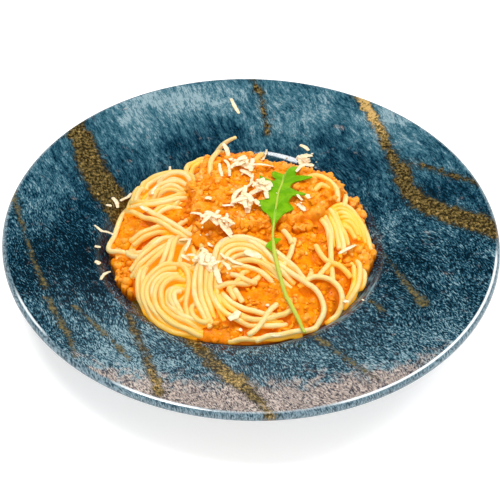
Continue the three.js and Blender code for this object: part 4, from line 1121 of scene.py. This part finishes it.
def makeLeaf():
    rib = curveThrough(leaf["rib"], 1.0)
    gone = lengthAlong(rib)
    stem, long = leaf["stemRadius"], leaf["bladeLength"]
    size = np.interp(gone, (0.0, long - 8.0, long + 12.0, gone[-1] - 12.0, gone[-1]),
                     (leaf["tipRadius"], leaf["ribRadius"], stem, stem, 0.75 * stem))
    ribHigh = sagged(restOn(field, rib, stem) - 0.3, 1.0, leaf["bend"])
    stemPath = np.column_stack([rib, ribHigh])
    underneath = draped(field, 4)
    blade = len(gone[gone < long + 2])
    upper = slice(0, blade)
    lower = slice(blade - 6, blade + 12)
    points, faces, away, along, start = [], [], [], [], 0
    for name, part in (("right", upper), ("left", upper), ("leftLeaflet", lower), ("rightLeaflet", lower)):
        sheetPoints, sheetFaces, sheetAway, sheetAlong = halfBlade(leaf[name], rib[part], ribHigh[part],
                                                                   underneath)
        points.append(sheetPoints)
        faces += [group + start for group in sheetFaces]
        away.append(sheetAway)
        along.append(sheetAlong)
        start += len(sheetPoints)
    skin = rocketLeafSkin()
    away = np.concatenate(away)
    addPiece("rocketBlade", np.vstack(points), faces, skin, "leaf", ["rocket_leaf"], away=away,
             along=np.concatenate(along), stem=0 * away)
    tubePoints, tubeFaces, tint, _ = tubes([stemPath], [size], 12)
    addPiece("rocketStem", tubePoints, tubeFaces, skin, "leaf", ["rocket_leaf"], away=0 * tint + 5.0,
             along=0 * tint, stem=0 * tint + 1.0)
    for sheetPoints in points:
        layBalls(field, sheetPoints[:len(sheetPoints) // 2], 0.6)
    layBalls(field, stemPath, size)


makeLeaf()

# Shreds of hard cheese, each by the pixels of its two ends (across, down) and its width in millimetres.
shreds = {
    "onRim": [
        (231, 99, 239, 114, 2.4), (94.5, 225.6, 113.5, 235.3, 1.7), (120.4, 201.3, 131.4, 194, 2.2),
        (112.2, 198, 118, 211.3, 2.4), (106, 205.6, 111.7, 207.5, 1.7), (95, 246.5, 100.7, 249.4, 2.2),
        (95, 261.8, 99.8, 264.7, 2.6), (100.7, 280, 111.3, 276, 2.0), (300, 145.3, 308.7, 151, 2.6),
        (343, 302, 348, 310.6, 2.2), (362, 300, 364, 301, 1.2),
    ],
    "onNest": [(170, 167, 168, 183, 1.7), (157.2, 186.5, 152.4, 196, 1.7), (141, 207.5, 147.6, 211.3, 2.2)],
    "onPile": [
        (190.7, 222.8, 205, 218, 2.2), (208, 217, 213, 226, 3.0), (211, 225, 217.5, 235.3, 3.2),
        (206, 221, 216, 222, 2.6), (218.4, 222.8, 231.8, 238, 2.7), (205, 199.9, 211.7, 199.9, 2.6),
        (231.8, 206.6, 244.3, 191.2, 2.7), (222.3, 205.6, 231.8, 206.6, 1.7), (223, 149, 231, 157.8, 2.7),
        (224.2, 161.6, 230, 177.8, 2.0), (219.4, 164.4, 222.3, 179.8, 2.0), (229, 158.7, 244.3, 164.4, 2.7),
        (240.5, 170, 245, 175, 3.0), (235, 162.5, 254, 168.3, 3.0), (252.2, 159.7, 247.4, 175, 2.7),
        (240.7, 172, 253, 177.8, 3.0), (252, 167.3, 273, 166.4, 2.2), (266.6, 150, 258, 165, 1.7),
        (253, 176, 243.6, 195, 1.7), (235, 204.6, 246.5, 191.2, 3.0), (247.4, 196, 266.6, 188.4, 3.5),
        (267, 189.3, 267.5, 199, 2.7), (244.6, 198.9, 247.4, 213.3, 4.0), (254, 202.7, 258, 210.4, 2.7),
        (297.2, 204.6, 304.9, 212.3, 3.0), (306.8, 197, 308.7, 206.5, 2.7), (297, 197, 302, 206.5, 1.7),
        (296.2, 158.7, 307.7, 154.9, 3.5), (302, 161.6, 313.5, 166.4, 3.5), (296.2, 172, 311.6, 168.3, 2.2),
    ],
    "onNoodles": [
        (179.2, 240.7, 190.7, 239.8, 1.7), (190.7, 239.8, 185, 257, 1.9), (181, 256, 189.7, 263.7, 2.6),
        (186.9, 262.8, 195.5, 256, 2.0), (200, 257, 207, 268, 3.3), (205, 258, 210, 268, 3.3),
        (203, 262, 211, 272, 3.0), (199.3, 249.4, 208, 253, 1.7), (208, 243.6, 212.7, 247.4, 2.2),
        (212.7, 258, 220.4, 283.8, 3.2), (220.4, 254, 226, 261.8, 1.7), (227, 258, 242.4, 264.7, 2.2),
        (226, 236, 233, 237, 2.2), (238.5, 311.6, 229, 326.9, 4.6), (244.6, 252.2, 260.8, 258, 4.6),
        (338.3, 259.9, 355.6, 245.5, 2.3), (266, 305, 269, 307, 2.0), (271.4, 336.4, 280, 339.3, 1.7),
        (239, 331.7, 242, 331.7, 2.6),
    ],
    # where shreds lie in a clump: pixel, how far they spread in millimetres, how many
    "clumps": [
        ((243, 168), 5.0, 10), ((262, 191), 5.0, 12), ((247, 203), 4.0, 8), ((211, 221), 4.0, 8),
        ((226, 232), 3.0, 5), ((204, 262), 4.5, 10), ((216, 268), 4.0, 7), ((304, 160), 3.0, 4),
    ],
    "clumpLength": (4.0, 9.0), "clumpWidth": (1.8, 3.4),
    "thickness": 0.6, "bend": 0.04, "sink": 0.3, "sides": 8, "longest": 1.5,
    "step": 0.8, "bow": 0.12,              # between points, and how far a shred curves sideways
    "feeler": 0.6, "overPlate": 0.5,       # radius with which it feels what it lies on, and its least height
    "bulk": 0.8, "bulkSink": 0.4,          # radius of what later shreds lie on, and how far under its middle
    "crumbs": 70, "crumbSize": (0.3, 0.7), "spread": 4.0, "seed": 71,
}


def landed(pixels):
    # where the line of sight through each pixel first meets what lies on the plate, or the plate
    right, up, back, lens = lensFrame()
    across, down = ((np.asarray(pixels, float) - picture["axis"]) / picture["focal"]).T
    sight = across[:, None] * right - down[:, None] * up - back
    spots = lens + sight[:, None] * np.linspace(*picture["searched"])[None, :, None]
    x, y, z = np.moveaxis(spots, -1, 0)
    first = (z < np.maximum(lookUp(field, x, y), dishTopAt(x, y))).argmax(axis=1)
    return spots[np.arange(len(pixels)), first]


def gratedCheese():
    # Hard cow's milk cheese, grated coarse and just warmed: ivory with a waxy, slightly clear body.
    material, tree = newMaterial("gratedHardCheese")
    place = addNode(tree, "ShaderNodeTexCoord").outputs["Object"]
    blotch = addNode(tree, "ShaderNodeTexNoise", {"Vector": place, "Scale": 1 / (1.5 * mm), "Detail": 3.0})
    blotch = blotch.outputs["Fac"]
    colour = laidOver(tree, "#DAC49C", [(blotch, 0.35, 0.65, 1.0, "#E8D8BC")])
    relief = addNode(tree, "ShaderNodeBump", {"Height": blotch, "Strength": 0.3, "Distance": 0.2 * mm})
    # thin flakes let light through, so their shaded sides stay warm and pale; a faint painted glow lifts them
    # further
    wax = addNode(tree, "ShaderNodeBsdfPrincipled", {
        "Base Color": colour, "Roughness": 0.5, "IOR": 1.44, "Subsurface Weight": 0.6,
        "Subsurface Radius": (1.0, 0.8, 0.5), "Subsurface Scale": 2.0 * mm,
        "Emission Color": linear("#FFD090"), "Emission Strength": 0.14, "Normal": relief.outputs[0]})
    addNode(tree, "ShaderNodeOutputMaterial", {"Surface": wax.outputs[0]})
    return material


def makeCheese():
    random = np.random.default_rng(shreds["seed"])
    table = [one for group in ("onRim", "onNest", "onPile", "onNoodles") for one in shreds[group]]
    ends = landed(np.array(table)[:, :4].reshape(-1, 2))[:, :2].reshape(-1, 2, 2)
    widths = [one[4] for one in table]
    centres = landed([pixel for pixel, _, _ in shreds["clumps"]])[:, :2]
    for centre, (_, spread, count) in zip(centres, shreds["clumps"]):
        turn = random.uniform(0, math.pi, count)
        length = random.uniform(*shreds["clumpLength"], count)
        along = np.stack([np.cos(turn), np.sin(turn)], axis=1) * length[:, None]
        start = centre + random.normal(0, 0.5 * spread, (count, 2)) - along / 2
        ends = np.concatenate([ends, np.stack([start, start + along], axis=1)])
        widths += random.uniform(*shreds["clumpWidth"], count).tolist()
    # no shred reaches from the heap across to the plate: the length it shows limits how long it is
    pixel = picture["distance"] / picture["focal"]
    most = [math.dist(one[:2], one[2:4]) * pixel * shreds["longest"] for one in table]
    most += [math.inf] * (len(ends) - len(table))
    paths, sizes = [], []
    for (first, last), width, limit in zip(ends, widths, most):
        ahead = last - first
        ahead *= min(1.0, limit / np.hypot(*ahead))
        last = first + ahead
        bow = random.uniform(-shreds["bow"], shreds["bow"])
        middle = (first + last) / 2 + np.array([-ahead[1], ahead[0]]) * bow
        way = curveThrough([first, middle, last], shreds["step"])
        under = restOn(np.maximum(field, dishField), way, shreds["feeler"])
        under = np.maximum(under, dishTopAt(*way.T) + shreds["overPlate"])
        high = sagged(under - shreds["sink"], shreds["step"], shreds["bend"])
        path = np.column_stack([way, high])
        wider = 0.7 + 0.3 * np.sin(math.pi * np.linspace(0, 1, len(path)))
        paths.append(path)
        sizes.append(0.5 * width * wider * (1 + random.normal(0, 0.1, len(path))))
        layBalls(field, path - [0, 0, shreds["bulkSink"]], shreds["bulk"])
    flat = shreds["thickness"] / float(np.mean(widths))
    points, faces, _, _ = tubes(paths, sizes, shreds["sides"], flat=flat)
    cheese = gratedCheese()
    addPiece("cheeseShreds", points, faces, cheese, "cheese", ["spaghetti"])
    near, crumbs = ends[len(shreds["onRim"]):].mean(axis=1), shreds["crumbs"]
    spots = near[random.integers(0, len(near), crumbs)] + random.normal(0, shreds["spread"], (crumbs, 2))
    sizes = random.uniform(*shreds["crumbSize"], crumbs)
    places = np.column_stack([spots, lookUp(field, *spots.T) + 0.3 * sizes])
    points, faces = lumpMesh(places, sizes, random)
    addPiece("cheeseCrumbs", points, faces, cheese, "cheese", ["spaghetti"])


makeCheese()


def makeStage():
    side, low = 3.0 / mm, -0.05      # a hair under the foot
    points = [(a * side, b * side, low) for a, b in ((-1, -1), (1, -1), (1, 1), (-1, 1))]
    mesh = bpy.data.meshes.new("floor")
    mesh.from_pydata((np.array(points) * mm).tolist(), [], [(0, 1, 2, 3)])
    floor = bpy.data.objects.new("floor", mesh)
    bpy.context.scene.collection.objects.link(floor)
    material, tree = newMaterial("paleTable")
    matt = addNode(tree, "ShaderNodeBsdfPrincipled", {"Base Color": linear("#D2D2D2"), "Roughness": 0.7,
                   "Emission Color": linear("#FFFFFF"), "Emission Strength": 0.6})
    addNode(tree, "ShaderNodeOutputMaterial", {"Surface": matt.outputs[0]})
    mesh.materials.append(material)


# Softboxes: place in metres, side lengths, power in watts, and whether gloss shows them.
softboxes = {
    "key": ((-0.41, -0.05, 1.6), (0.5, 0.5), 16.0, True),
    "right": ((0.95, 0.3, 1.15), (0.5, 0.5), 9.0, False),
    "overhead": ((0.0, 0.0, 1.9), (2.0, 2.0), 20.0, False),
    "front": ((0.2, -1.3, 1.2), (1.8, 1.2), 9.0, False),
}
# The sky is brighter at the horizon: sines of elevation between which it falls, and its brightness.
sky = {"low": (0.12, 0.34), "high": (0.34, 0.6), "tones": (1.3, 0.5, 0.04)}


def makeLights():
    world = bpy.data.worlds.new("studio")
    bpy.context.scene.world = world
    world.use_nodes = True
    tree = world.node_tree
    tree.nodes.clear()
    direction = addNode(tree, "ShaderNodeTexCoord").outputs["Generated"]
    height = addNode(tree, "ShaderNodeSeparateXYZ", {0: direction}).outputs["Z"]
    horizon, middle, zenith = sky["tones"]
    low, high = (addNode(tree, "ShaderNodeMapRange", {"Value": height, "From Min": start, "From Max": end,
                         "To Min": below, "To Max": above}, interpolation_type="SMOOTHSTEP").outputs[0]
                 for (start, end), below, above in ((sky["low"], horizon - middle, 0.0),
                                                    (sky["high"], middle, zenith)))
    bright = addNode(tree, "ShaderNodeMath", {0: low, 1: high}, operation="ADD").outputs[0]
    glow = addNode(tree, "ShaderNodeBackground", {"Color": (1.0, 0.995, 0.985, 1.0), "Strength": bright})
    addNode(tree, "ShaderNodeOutputWorld", {"Surface": glow.outputs[0]})
    for name, (place, size, power, glossy) in softboxes.items():
        light = bpy.data.lights.new(name, "AREA")
        light.shape, light.size, light.size_y = "RECTANGLE", *size
        light.energy = power
        lamp = bpy.data.objects.new(name, light)
        lamp.visible_glossy = glossy
        lamp.location = place
        aim = np.array((0.0, 0.0, 0.03)) - np.array(place)
        lamp.rotation_euler = (math.atan2(np.hypot(aim[0], aim[1]), -aim[2]), 0.0,
                               math.atan2(aim[1], aim[0]) - math.pi / 2)
        bpy.context.scene.collection.objects.link(lamp)
    bpy.context.scene.view_settings.view_transform = "Standard"


makeStage()
makeLights()
